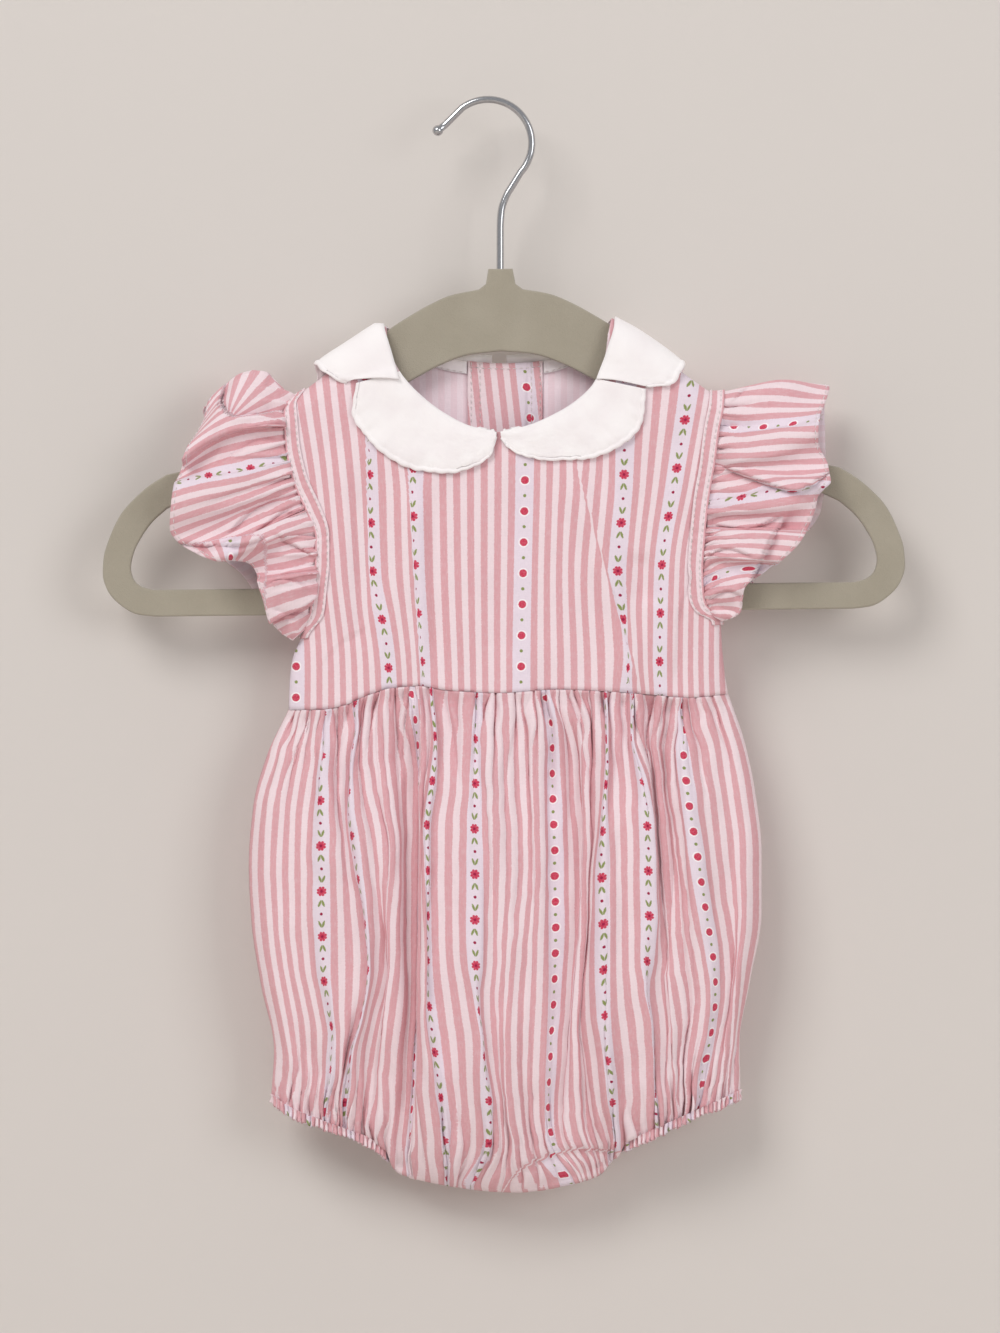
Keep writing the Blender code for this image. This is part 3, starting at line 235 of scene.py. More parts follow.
# The petals over the shoulders: inner x and reach from the ridge, outer x and reach.
PETAL_BACK = (
    (-4.8, 36.2, -5.4, 66), (-12, 35.4, -14, 71.5), (-22, 34, -33, 69), (-35, 25.6, -57, 50),
    (-45, 14.6, -73, 29), (-52.2, 3, -82, 11))
PETAL_LEFT_END = (
    (-51.6, -6.5, -82.5, -0.5), (-49.4, -16.5, -80, -6), (-45.7, -32.4, -70.5, -13.2))
PETAL_RIGHT_END = (
    (-52.2, -6.5, -83.2, -1), (-49.8, -18, -80.5, -10), (-44.6, -35.7, -68.2, -22.6))
PETAL_BACK_SHIFT = -3.2  # the right one is the left one's mirror image, moved by this
# How far the left and the right petal stand over the shoulder, at the inner and the outer edge.
PETAL_LIFTS = ((2.6, 6.5), (0.0, 3.2))
PETAL_DOWN = np.concatenate([np.linspace(0, 0.9, 15), np.linspace(0.92, 1.0, 6)])
PETAL_WALL = 1.2
PETAL_EDGE = (0.95, 0.75, 0.35)  # shares of the wall in the last rows, so that the edge is round
PETAL_OVER = 0.9  # the back petals lie this far over the front ones

PLACKET = (-10, 10)  # x of the overlap's edges
FACING = (-15.6, 17.8)
FACING_END = 236.0
BINDING_WIDE = 5.0
ARM_BAND_WIDE = 7.0
ARM_BAND_LONG = 270
BUBBLE_POWER = 2.3
TUCK_FROM = 0.74  # share of the way down where the bubble starts to turn in
BODICE_ROWS = (0, 0.008, 0.022, 0.045, 0.085, 0.15, 0.25, 0.37, 0.5, 0.62, 0.71, 0.775, 0.88, 1)
UNDERARM_ROW = 11
UNDERARM_LINE = UNDERARM_ROW * ROW_STEPS
LEG_SPAN = ((-102.4, -47.5), (50, 105.2))
LEG_DEEP = 11.0
LEG_POWER = 2.6  # how square a leg opening is: 2 is an ellipse
LEG_BAND_TALL = 4.6
CASING_SHOWS = LEG_BAND_TALL - 0.6  # the bubble's cloth ends this far above the hem there
CASING_SHORT = 3.8  # a casing's inner end lies this far outside the leg's
CASING_LONG = 290
CASING_WAVES = 62
# Waves across the gathered body: count over the whole width, sharpness, wander, lean (waves
# gained on the way down), then their strength at these shares of the way down.
FOLD_AT = (0, 0.05, 0.14, 0.32, 0.6, 0.85, 0.94, 1)
BUBBLE_FOLDS = (
    (34, 0.8, 0.8, 0, (1, 1, 0.45, 0.08, 0.05, 0.08, 0.1, 0.1)),
    (58, 0.6, 0.8, 0, (0.5, 0.3, 0.1, 0, 0, 0.1, 0.3, 0.2)),
    (25, 0.7, 0.6, 0.2, (0.1, 0.3, 0.7, 0.3, 0.25, 0.3, 0.25, 0.1)),
    (16, 0.5, 0.5, -0.2, (0.05, 0.2, 0.5, 0.8, 0.6, 0.5, 0.25, 0.1)),
    (9, 0.3, 0.4, 0.1, (0, 0.05, 0.2, 0.5, 0.7, 0.35, 0.1, 0)),
    (52, 0.5, 0.6, 0, (0, 0, 0, 0, 0.1, 0.5, 1.1, 1.2)))
# The most that the waves may stand out, down the cloth.
HEIGHT_MOST = ((0, 1.6), (0.04, 3.2), (0.2, 3.6), (0.5, 3.6), (0.8, 3.2), (0.92, 2.4), (1, 1.5))
# Sets of pleats beside the waist and the hem: seed, pitch, reach, depth, hidden cloth.
WAIST_PLEATS = ((50, 7.4, 32.0, 3.4, 2.2), (70, 4.3, 15.0, 1.9, 0.0))
HEM_PLEATS = ((60, 4.6, 24.0, 3.2, 2.8), (80, 3.3, 13.0, 1.8, 0.0))
# The fold above the crotch: depth, reach, line; and the print that it hides.
LAP_LINE = (
    (488, 1225), (508, 1181), (526, 1163), (553, 1153), (577, 1147), (606, 1149), (650, 1156))
FRONT_LAP = ((3, 6, LAP_LINE),)
FRONT_LAP_PRINT = ((7, 24, LAP_LINE),)
# Creases of the front bodice: top x, top drop, low x, low drop, half width, height.
FRONT_CREASES = (
    (31.2, 165.6, 60.5, 257.6, 7, 2.6), (60.5, 202, 64.5, 221.6, 6, -2),
    (-38, 175, -36, 250, 5, 2.2), (-30, 175, -29, 250, 5, -1.6), (-72, 158, -69, 238, 5, 1.8),
    (-62, 165, -60, 240, 5, -1.4), (78, 160, 72, 255, 6, 1.8))
BUTTON_R = 5.0
BUTTON_DROPS = (152, 184, 216)
BUTTON_SHAPE = (  # out from the cloth, share of the radius
    (0.0, 0.9), (0.3, 1.0), (1.2, 1.0), (1.7, 0.97), (2.0, 0.88), (1.9, 0.78), (1.5, 0.66),
    (1.4, 0.4), (1.4, 0.05))
THREAD_OUT = 0.35  # of a thread from its cloth's mid wall
END_FADE = 6  # where puckers and scallops fade out, from the end of their line

# Where the print's ribbons run on the front bodice: drop, then x of each ribbon.
RIBBON_AT = (4.0, 49.0, 71.0, 116.0, 161.0, 183.0, 228.0)  # millimetres across the print
PRINT_BEYOND = 60.0  # how far the print is read past its outer ribbons
BODICE_RIBBONS = (
    (100, -112, -62, -40, 10.5, 54, 87, 128), (130, -108, -59.5, -39.5, 10.3, 54, 82.7, 124),
    (167, -100, -57.6, -38.5, 9.9, 53.6, 76.5, 116), (207, -94, -56.3, -37.2, 9.1, 51.6, 70.5, 106),
    (249, -91.3, -50.5, -34.5, 8.1, 55, 69.4, 106), (270, -91.5, -49.5, -33.6, 8, 55.5, 69.6, 107))
# Folds where the cloth laps over itself: depth and half width in millimetres, then a line in the
# photograph's pixels. The deep side is on the right of someone who walks along the line.
FRONT_PRESSED = (
    (1.1, 2.6, ((571, 462), (600, 548), (637, 676))),
    (0.8, 2.6, ((409, 692), (411, 610), (406, 520))),
    (0.7, 2.4, ((626, 560), (628, 640), (630, 690))),
    (0.8, 2.6, ((318, 668), (345, 640), (372, 626))),
    (0.6, 3, ((352, 480), (362, 580), (357, 670))),
    (0.6, 2.6, ((672, 690), (678, 620), (694, 560))))
LEFT_PRESSED = (
    (4.4, 4, ((290, 408), (261, 416), (235, 419), (226, 413), (219, 397), (224, 370))),
    (2.4, 2.4, ((284, 440), (261, 441), (240, 452), (212, 468))),
    (2.2, 2.6, ((228, 536), (256, 508), (286, 492))),
    (2, 2.2, ((252, 536), (272, 520), (294, 505))),
    (3.6, 2.6, ((174, 541), (205, 546), (240, 546), (270, 537))),
    (3, 2.4, ((272, 534), (298, 546), (318, 562))),
    (2.4, 2.2, ((308, 588), (282, 580), (260, 592))), (2, 2, ((310, 612), (292, 616), (272, 608))))
RIGHT_PRESSED = (
    (4.6, 4.4, ((700, 456), (751, 479), (794, 492), (842, 460))),
    (3, 2.6, ((705, 523), (745, 528), (786, 512))),
    (5.4, 4.6, ((738, 612), (765, 549), (790, 505))),
    (2.4, 2.2, ((702, 560), (728, 549), (754, 558))),
    (2.4, 2.2, ((704, 602), (728, 590), (744, 598))),
    (2, 2.6, ((722, 410), (748, 392), (790, 386))))
# Where the left ruffle turns over and its stripes run another way: the line of the turn, then the
# place they fan out from (all in the photograph's pixels), print for each radian, print upwards.
LEFT_FANS = (
    (((290, 408), (261, 416), (235, 419), (226, 413), (219, 397), (224, 370)), (226.7, 423.7), 20.7,
     16),
    (((168, 540), (180, 545), (209, 543), (235, 537), (258, 537), (267, 546), (267, 568)),
     (231.8, 577.2), 14.2, 4))
# The print that lies inside the ruffles' folds: from, to.
LEFT_INSIDE = ((-68, -58), (-46, -36), (-2, 10), (65, 77))
RIGHT_INSIDE = ((-69, -57.5),)
# Print hidden under the right ruffle's fold: millimetres, reach, then the line.
RIGHT_HIDDEN = ((-5.5, 22, ((700, 456), (751, 479), (794, 492), (842, 460))),)
# Each ruffle's hem, lift over the shoulder, cloth, folds, hidden print, print inside its folds,
# turned parts and seed.
RUFFLES = {
    "left": (RUFFLE_LEFT, 12, LEFT_CLOTH, LEFT_PRESSED, (), LEFT_INSIDE, LEFT_FANS, 61),
    "right": (RUFFLE_RIGHT, 0.5, RIGHT_CLOTH, RIGHT_PRESSED, RIGHT_HIDDEN, RIGHT_INSIDE, (), 71)}
# Tucks that hide some print: hidden millimetres, then drop, x of the line, from top to foot.
FRONT_TUCKS = (
    (3, ((150, 29), (198, 43), (256, 60))),
    (4.6, ((150, -42.9), (180, -40.9), (206, -39.3), (245, -36.6), (274, -35.1))),
    (3.8, ((125, -60.2), (165, -59.8), (200, -59.5), (222, -58))),
    (3.6, ((204, 54.2), (235, 55.4), (262, 55.6))))
FLOWER_DROP = 186.6  # drop of a flower of the bodice
BUBBLE_PRINT = 15.0  # the bubble's left seam, across the print
BACK_PRINT = 40.0  # the same seen from behind
BUBBLE_FLOWER = 22.0  # a flower this far below the waist seam

# ---------------------------------------------------------------- the print, in millimetres
REPEAT = 112.0  # of stripes and ribbons across the cloth
STRIPE = 2.9
STRIPE_RUNS = ((8.0, 45.0, 5.683), (53.0, 67.1, 5.6), (75.0, 112.0, 5.683))  # from, to, pitch
RIBBON_RUNS = ((-1.0, 8.0), (45.0, 53.0), (67.1, 75.0))
STRIPE_SOFT = 0.16
PRINT_SOFT = 0.1
DOTS_MIDDLE = 4.0
FIRST_MIDDLE = 49.0  # of the flowers' first ribbon, and the second one's distance from it
SECOND_APART = 22.0
SECOND_FROM = 60.0
PETALS = 8  # of a flower
LEAF = ((0.25, -1.25), (1.0, 2.5))  # where its middle line starts and how it runs
# Pitch of the flowers, pitch of the dots, where they start, and the second ribbon's shift.
BODICE_MOTIFS = (21.4, 13.75, -5.15, 2.8)
BUBBLE_MOTIFS = (20.1, 11.4, -6.7, 0.6)
INSIDE_SHOWING = 0.2  # how much of the print comes through on the wrong side

# ---------------------------------------------------------------- colours of the photograph
PINK = "DAA4AA"
GROUND = "EEDADE"
RIBBON = "E7D9E3"
CRIMSON = "C9244B"
OLIVE = "8A9458"
DARK_DOT = "9C1A44"
HALO = "F7EFF2"  # round the dots
WRONG = "F3E1E8"  # the wrong side of the striped cotton
COLLAR_WHITE = "FAF6F5"
GREIGE = "A39B8A"
PAINT = "D8D2CC"
PAINT_DARK = "D3CDC8"

# ---------------------------------------------------------------- the stage, in metres
WALL_BACK = 0.026
WALL_TOP = 1.6
FLOOR = -0.62
LIGHT_AIM = (0.0, 0.0, -0.25)
CAMERA_AWAY = 3.0
FRAME_TALL = 0.5919  # 1333 pixels of 0.444 mm fill the frame's height


# ---------------------------------------------------------------- lines and surfaces
def smooth(xs, ys):
    """A curve through the points that never overshoots them (monotone cubic)."""
    xs, ys = np.asarray(xs, float), np.asarray(ys, float)
    step = np.diff(xs)
    slope = np.diff(ys) / step
    tangent = np.zeros_like(ys)
    tangent[0], tangent[-1] = slope[0], slope[-1]
    before, after = slope[:-1], slope[1:]
    same_way = before * after > 0
    total = np.where(same_way, before + after, 1.0)
    tangent[1:-1] = np.where(same_way, 2 * before * after / total, 0.0)

    def value(x):
        x = np.clip(x, xs[0], xs[-1])
        i = np.clip(np.searchsorted(xs, x, side="right") - 1, 0, len(step) - 1)
        t = (x - xs[i]) / step[i]
        start = ys[i] * (1 + 2 * t) + tangent[i] * step[i] * t
        end = ys[i + 1] * (3 - 2 * t) - tangent[i + 1] * step[i] * (1 - t)
        return start * (1 - t) ** 2 + end * t**2

    return value


def columns_of(table):
    """One smooth curve for each column of a table, over its first column."""
    rows = np.array(table, float)
    return [smooth(rows[:, 0], rows[:, k]) for k in range(1, rows.shape[1])]


def read_at(table, at):
    """A row of the values of a table's smooth curves for each of these places."""
    return np.stack([curve(at) for curve in columns_of(table)], axis=1)


def lengths(points):
    """How far along its line each point lies."""
    return np.concatenate([[0], np.cumsum(np.linalg.norm(np.diff(points, axis=0), axis=1))])


def at_lengths(at, length, points):
    """The places this far along a line, on the straight pieces between its points."""
    return np.stack([np.interp(at, length, column) for column in points.T], axis=-1)


def along(points, shares, straight=False):
    """Points at these shares of a line's length, on a smooth curve or on its straight pieces."""
    points = np.array(points, float)
    length = lengths(points)
    at = np.asarray(shares, float) * length[-1]
    if straight:
        return at_lengths(at, length, points)
    return np.stack([smooth(length, column)(at) for column in points.T], axis=-1)


def between(inner, outer, shares):
    """Rows of points from one line to another, at these shares of the way."""
    return np.stack([inner + (outer - inner) * share for share in shares])


def ease(low, high, x):
    """0 up to low and 1 from high on, with a soft step."""
    t = np.clip((np.asarray(x, float) - low) / (high - low), 0, 1)
    return t * t * (3 - 2 * t)


def off_ends(run):
    """0 at both ends of a line and 1 from END_FADE on, for how far along it each point lies."""
    return np.minimum(ease(0, END_FADE, run), ease(0, END_FADE, run[-1] - run))


def unit(rows):
    return rows / np.linalg.norm(rows, axis=1, keepdims=True)


def normals(grid):
    """Unit normals of a sheet of points. They face the viewer where rows run down and columns
    run to the right."""
    normal = np.cross(np.gradient(grid, axis=1), np.gradient(grid, axis=0))
    return normal / np.maximum(np.linalg.norm(normal, axis=2, keepdims=True), 1e-9)


def blurred(field, times):
    """A field of numbers, each averaged with its neighbours."""
    for _ in range(times):
        padded = np.pad(field, 1, mode="edge")
        height, width = field.shape
        field = sum(padded[i:i + height, j:j + width] for i in range(3) for j in range(3)) / 9
    return field


def running_mean(rows, half):
    """Each row averaged over this many points to either side."""
    padded = np.pad(rows, ((0, 0), (half, half)), mode="edge")
    total = np.cumsum(np.pad(padded, ((0, 0), (1, 0))), axis=1)
    return (total[:, 2 * half + 1:] - total[:, :-2 * half - 1]) / (2 * half + 1)


def noise(x, y, seed):
    """Smooth noise from -1 to 1 with one cell per unit, the same each run."""
    x, y = np.broadcast_arrays(np.asarray(x, float), np.asarray(y, float))
    cell_x, cell_y = np.floor(x).astype(np.int64), np.floor(y).astype(np.int64)
    part_x, part_y = x - cell_x, y - cell_y
    part_x, part_y = part_x**2 * (3 - 2 * part_x), part_y**2 * (3 - 2 * part_y)

    def corner(i, j):
        mixed = (cell_x + i) * 374761393 + (cell_y + j) * 668265263 + seed * 974634777
        mixed = (mixed ^ (mixed >> 13)) * 1274126177 & 0x7FFFFFFF
        return ((mixed ^ (mixed >> 16)) & 0xFFFF) / 32767.5 - 1

    top = corner(0, 0) * (1 - part_x) + corner(1, 0) * part_x
    low = corner(0, 1) * (1 - part_x) + corner(1, 1) * part_x
    return top * (1 - part_y) + low * part_y


def squares(at):
    """The corners of each square of a grid, from its top left one over its top right one."""
    return np.stack([at[:-1, :-1], at[:-1, 1:], at[1:, 1:], at[1:, :-1]], -1).reshape(-1, 4)


def tree_of(sheet):
    at = np.arange(sheet.shape[0] * sheet.shape[1]).reshape(sheet.shape[:2])
    return BVHTree.FromPolygons(sheet.reshape(-1, 3).tolist(), squares(at).tolist())


def settled(grid, clear, under, rounds=3):
    """A sheet moved along its normals until its points are clear of the sheets under it."""
    trees = [tree_of(sheet) for sheet in under]
    for _ in range(rounds):
        need = np.zeros(grid.shape[:2])
        for i, j in np.ndindex(*need.shape):
            point = Vector(grid[i, j])
            for tree in trees:
                hit, facing, _, _ = tree.find_nearest(point, SETTLE_REACH)
                if hit is None:
                    continue
                out = (point - hit).dot(facing)
                level = ((point - hit) - facing * out).length
                if out > -SETTLE_SUNK and level < 0.4 * abs(out) + 0.05:
                    need[i, j] = max(need[i, j], clear - out)
        if need.max() < SETTLE_DONE:
            break
        need = np.maximum(need, blurred(need, 2))
        grid = grid + normals(grid) * need[..., None]
    return grid


def settled_over(grid, clear, fronts, backs):
    """settled() for a sheet that passes over the shoulder."""
    for _ in range(2):
        grid = settled(grid, clear, fronts, rounds=2)
        grid = settled(grid, clear, [back[:, ::-1] for back in backs], rounds=2)
    return grid


def row_frame(points):
    """(x, y, drop) in millimetres to (X, Y, Z) in metres."""
    points = np.asarray(points, float)
    return np.stack([points[..., 0] + CENTRE_X, points[..., 1], -points[..., 2]], axis=-1) * MM


# ---------------------------------------------------------------- the hanging body's form
arm_top_line = smooth(*zip(*(ARM_MIDDLE,) + ARM_TOP))
ring_left, ring_right, ring_front, ring_back = columns_of(RING)
waist_line = smooth(*zip(*WAIST))
hem_line = smooth(*zip(*HEM))
BUBBLE_LEFT, BUBBLE_RIGHT, BUBBLE_FRONT, BUBBLE_BACK = columns_of(BUBBLE)


def tilted(points):
    """The hanger's points turned by its tilt about its own middle."""
    points = np.array(points, float)
    x, drop = points[:, 0], points[:, 1] - TILT_DROP
    turn, hold = math.sin(HANGER_TILT), math.cos(HANGER_TILT)
    return np.stack([x * hold + drop * turn, drop * hold - x * turn + TILT_DROP], axis=1)


def ridge(x):
    """Drop of the shoulder cloth's top line, which rides on the hanger's arm."""
    x = np.asarray(x, float)
    arm = arm_top_line(np.abs(x)) - x * math.sin(HANGER_TILT)
    return np.minimum(arm - RIDGE_CLEAR, SHOULDER_LOWEST + LEFT_LOWER * (x < 0))


def depth(x, drop, back=False):
    """Distance of the body's mid wall from the hanger's plane."""
    left, right = ring_left(drop), ring_right(drop)
    reach = np.abs(2 * (x - left) / (right - left) - 1)
    round_off = np.maximum(1 - np.minimum(reach, 1) ** SECTION_POWER, 0) ** (1 / SECTION_POWER)
    fall = np.clip((drop - ridge(x)) / RIDGE_ROUND, 0, 1)
    over = np.sqrt(np.maximum(1 - (1 - fall) ** 2, 0))
    full = ring_back(drop) if back else ring_front(drop)
    return full * round_off * over + SEAM_HALF


def creases(x, drop):
    """Soft slanting creases of the hanging front, in millimetres towards the viewer."""
    total = np.zeros_like(x)
    for top_x, top, low_x, low, wide, tall in FRONT_CREASES:
        t = (drop - top) / (low - top)
        line = top_x + (low_x - top_x) * t
        fade = ease(-0.15, 0.15, t) * (1 - ease(0.85, 1.15, t))
        total += tall * fade * np.exp(-(((x - line) / wide) ** 2))
    return total


def beside_line(x, drop, line):
    """How far points lie from a line in the photograph's pixels, plus on the right of someone who
    walks along it, and the share of the line that they lie beside."""
    points = along(from_pixels(line), np.linspace(0, 1, LINE_STEPS + 1))
    nearest, beside, at = np.full(x.shape, 1e9), np.zeros(x.shape), np.zeros(x.shape)
    for number, (start, end) in enumerate(zip(points, points[1:])):
        run = end - start
        length = np.hypot(*run)
        share = np.clip(((x - start[0]) * run[0] + (drop - start[1]) * run[1]) / length**2, 0, 1)
        far = np.hypot(x - start[0] - run[0] * share, drop - start[1] - run[1] * share)
        side = (run[0] * (drop - start[1]) - run[1] * (x - start[0])) / length
        near = far < nearest
        at = np.where(near, (number + share) / LINE_STEPS, at)
        beside = np.where(near, np.sign(side) * far, beside)
        nearest = np.where(near, far, nearest)
    return beside, at


def from_pixels(places):
    """(x, drop) in millimetres of places in the photograph's pixels."""
    return (np.array(places, float) - CENTRE_PIXEL) * PIXEL


def pressed(x, drop, folds, lap=0.0, soft=0.6):
    """The depth of the folds pressed along lines, in millimetres. lap is how far the cloth stands
    up over a fold before its edge, as a share of its depth."""
    total = np.zeros_like(x)
    for deep, half, line in folds:
        beside, at = beside_line(x, drop, line)
        step = ease(-soft, soft, beside)
        shape = np.exp(-np.maximum(beside, 0) / half) * step
        shape = shape - lap * np.exp(np.minimum(beside, 0) / half) * (1 - step)
        total += deep * shape * ease(0.0, 0.2, at) * (1 - ease(0.8, 1.0, at))
    return total


def pleats(across, down, seed, pitch, reach, deep, hidden):
    """Short pleats that gathering pulls into cloth beside its seam: their depth at each point,
    and how far the cloth hidden in them carries the print. across and down are on the cloth."""
    across, down = np.broadcast_arrays(across, down)
    height, carried = np.zeros(across.shape), np.zeros(across.shape)
    for number in range(int((across.max() - across.min()) / pitch)):
        place, way, length, lean = (float(noise(number, 0, seed + k)) for k in range(4))
        at = across.min() + (number + 0.5 + 0.45 * place) * pitch + 0.3 * lean * down
        side = 1 if way > 0 else -1
        fade = np.clip(1.2 * (1 - down / (reach * (1 + 0.6 * length))), 0, 1)
        size = (0.6 + 0.7 * abs(way)) * fade
        far = (across - at) * side
        height += deep * size * np.exp(-np.maximum(far, 0) / (0.5 * pitch)) * ease(-0.6, 0.6, far)
        spread = np.clip(far / (0.9 * pitch) + 0.5, 0, 1)
        carried += side * hidden * size * (ease(-0.4, 0.4, far) - spread)
    return height, carried


def on_front(flat):
    x, drop = flat[..., 0], flat[..., 1]
    front = -depth(x, drop) - creases(x, drop) + pressed(x, drop, FRONT_PRESSED, 0.4)
    return np.stack([x, front, drop], axis=-1)


def on_back(flat):
    x, drop = flat[..., 0], flat[..., 1]
    return np.stack([x, depth(x, drop, True), drop], axis=-1)


def over_shoulder(x, reach):
    """Points at this distance from the ridge, down the front (minus) or the back (plus)."""
    quarter = math.pi / 2 * RIDGE_ROLL * RIDGE_ROUND
    far = np.abs(reach)
    angle = np.minimum(far / quarter, 1) * math.pi / 2
    fall = RIDGE_ROUND * (1 - np.cos(angle)) + np.maximum(far - quarter, 0)
    drop = ridge(x) + fall
    share = np.clip((reach + RIDGE_BLEND) / (2 * RIDGE_BLEND), 0, 1)
    front, back = -depth(x, drop), depth(x, drop, True)
    side = np.where(reach > 0, back, front)
    blend = front * (1 - share) + back * share
    return np.stack([x, np.where(far > RIDGE_BLEND, side, blend), drop], axis=-1)


def shoulder(x_from, x_to):
    """The ridge as a line of (x, drop)."""
    return [(x, float(ridge(x))) for x in np.linspace(x_from, x_to, SHOULDER_POINTS)]


def side_edge(tip_x, armhole, ring_edge, underarm, waist_point):
    """From the shoulder's tip down the armhole, then down the side seam to the waist."""
    seam = [(float(ring_edge(d)), d) for d in np.linspace(underarm, waist_point[1], 6)]
    seam[-1] = waist_point
    return [(tip_x, float(ridge(tip_x))), *armhole, *seam]


LEFT_EDGE = side_edge(SHOULDER_TIP[0], ARMHOLE_LEFT, ring_left, UNDERARM, WAIST[0])
RIGHT_EDGE = side_edge(SHOULDER_TIP[1], ARMHOLE_RIGHT, ring_right, RIGHT_UNDERARM, WAIST[-1])


def finer(values, times):
    """A list of numbers with this many steps in each of its gaps."""
    steps = np.arange(len(values) * times - times + 1) / times
    return np.interp(steps, np.arange(len(values)), values)


def bodice_panel(neck, columns, x_from=None, x_to=None):
    """(x, drop) grid of a bodice panel, whole or from one side to a straight inner edge."""
    start, end = NECK_SIDE
    top = [*shoulder(SHOULDER_TIP[0], start), *neck, *shoulder(end, SHOULDER_TIP[1])]
    bottom, left, right = list(WAIST), LEFT_EDGE, RIGHT_EDGE
    if x_to is not None:
        top, bottom = cut_line(top, x_to, True), cut_line(bottom, x_to, True)
        right = [top[-1], bottom[-1]]
    if x_from is not None:
        top, bottom = cut_line(top, x_from, False), cut_line(bottom, x_from, False)
        left = [top[0], bottom[0]]
    u = np.linspace(0, 1, columns + 1)
    u = 0.5 * u + 0.5 * eased_ends(u, x_from is None, x_to is None)
    v = finer(BODICE_ROWS, ROW_STEPS)
    return patch_at(along(top, u), along(bottom, u), along(left, v), along(right, v), u, v)


def eased_ends(u, left, right):
    """Shares packed closer at the ends where the sheet turns a side."""
    if left and right:
        return (1 - np.cos(math.pi * u)) / 2
    return 1 - np.cos(math.pi * u / 2) if left else np.sin(math.pi * u / 2)


def patch_at(top, bottom, left, right, u, v):
    """The sheet between four edges (a Coons patch)."""
    u, v = u[None, :, None], v[:, None, None]
    across = (1 - v) * top[None] + v * bottom[None]
    down = (1 - u) * left[:, None] + u * right[:, None]
    corners = ((1 - u) * (1 - v) * top[0] + u * (1 - v) * top[-1]
               + (1 - u) * v * bottom[0] + u * v * bottom[-1])
    return across + down - corners


def cut_line(points, x, keep_left):
    """The part of a left-to-right line on one side of x."""
    points = np.array(points, float)
    order = np.argsort(points[:, 0])
    at = float(np.interp(x, points[order, 0], points[order, 1]))
    kept = [tuple(p) for p in points if (p[0] < x - 0.5) == keep_left and abs(p[0] - x) > 0.5]
    return [*kept, (x, at)] if keep_left else [(x, at), *kept]


# ---------------------------------------------------------------- shader numbers
def linear(code):
    """A written colour as the shader's own red, green and blue."""
    parts = [int(code[i:i + 2], 16) / 255 for i in (0, 2, 4)]
    return [p / 12.92 if p <= 0.04045 else ((p + 0.055) / 1.055) ** 2.4 for p in parts]


def feed(tree, socket, value):
    """Gives a socket a number, a written colour, or what another socket holds."""
    if isinstance(value, Number):
        value = value.socket
    if isinstance(value, bpy.types.NodeSocket):
        tree.links.new(value, socket)
    elif isinstance(value, str):
        socket.default_value = (*linear(value), 1.0)
    else:
        socket.default_value = float(value)


def new_node(tree, kind, **values):
    """A shader node with these values in its named sockets."""
    node = tree.nodes.new(f"ShaderNode{kind}")
    for name, value in values.items():
        feed(tree, node.inputs[name.replace("_", " ")], value)
    return node


class Number:
    """One number of a shader, on which plain arithmetic makes Math nodes."""

    def __init__(self, tree, socket):
        self.tree, self.socket = tree, socket

    def math(self, kind, *others):
        node = new_node(self.tree, "Math")
        node.operation = kind
        for place, item in enumerate((self, *others)):
            feed(self.tree, node.inputs[place], item)
        return Number(self.tree, node.outputs[0])

    def __add__(self, other):
        return self.math("ADD", other)

    def __sub__(self, other):
        return self.math("SUBTRACT", other)

    def __mul__(self, other):
        return self.math("MULTIPLY", other)

    def less(self, edge, soft):
        """1 below the edge and 0 above it, with a soft step."""
        gap = edge - self if isinstance(edge, Number) else (self * -1.0) + edge
        node = new_node(self.tree, "MapRange", Value=gap, From_Min=-soft, From_Max=soft)
        node.interpolation_type = "SMOOTHSTEP"
        return Number(self.tree, node.outputs["Result"])

    def within(self, low, high, soft):
        return self.less(high, soft) * (self.less(low, soft) * -1.0 + 1.0)

    def centred(self, period, middle):
        """The distance from the nearest of the places middle + n periods, with its sign."""
        return (self - (middle - period / 2)).math("FLOORED_MODULO", period) - period / 2

    def absolute(self):
        return self.math("ABSOLUTE")

    def most(self, other):
        return self.math("MAXIMUM", other)


def most_of(numbers):
    return reduce(Number.most, numbers)


def reach(one, two):
    return (one * one + two * two).math("SQRT")


def mixed(tree, share, below, above):
    """One colour laid over another. Each is a written colour or a socket."""
    node = new_node(tree, "Mix")
    node.data_type = "RGBA"
    feed(tree, node.inputs["Factor"], share)
    for name, colour in (("A", below), ("B", above)):
        feed(tree, next(s for s in node.inputs if s.name == name and s.type == "RGBA"), colour)
    return next(s for s in node.outputs if s.type == "RGBA")


def new_material(name, roughness, sheen=0.0, metallic=0.0):
    made = bpy.data.materials.new(name)
    made.use_nodes = True
    shader = made.node_tree.nodes["Principled BSDF"]
    for socket, value in (("Roughness", roughness), ("Metallic", metallic), ("Sheen Weight", sheen),
                          ("Sheen Roughness", 0.6), ("Specular IOR Level", 0.25)):
        shader.inputs[socket].default_value = value
    return made, made.node_tree, shader


def noise_number(tree, vector, scale, detail):
    node = new_node(tree, "TexNoise", Scale=scale, Detail=detail, Vector=vector)
    return Number(tree, node.outputs["Fac"])


def noise_at(tree, x, y, scale=1.0, detail=1.0):
    """Noise at a place on the flat cloth."""
    vector = new_node(tree, "CombineXYZ", X=x, Y=y).outputs["Vector"]
    return noise_number(tree, vector, scale, detail)


def noise_on(tree, scale, detail):
    """Noise at a place on a solid."""
    place = new_node(tree, "TexCoord").outputs["Object"]
    return noise_number(tree, place, scale, detail)


def bumped(tree, shader, height, distance, strength):
    node = new_node(tree, "Bump", Distance=distance, Strength=strength, Height=height)
    feed(tree, shader.inputs["Normal"], node.outputs["Normal"])


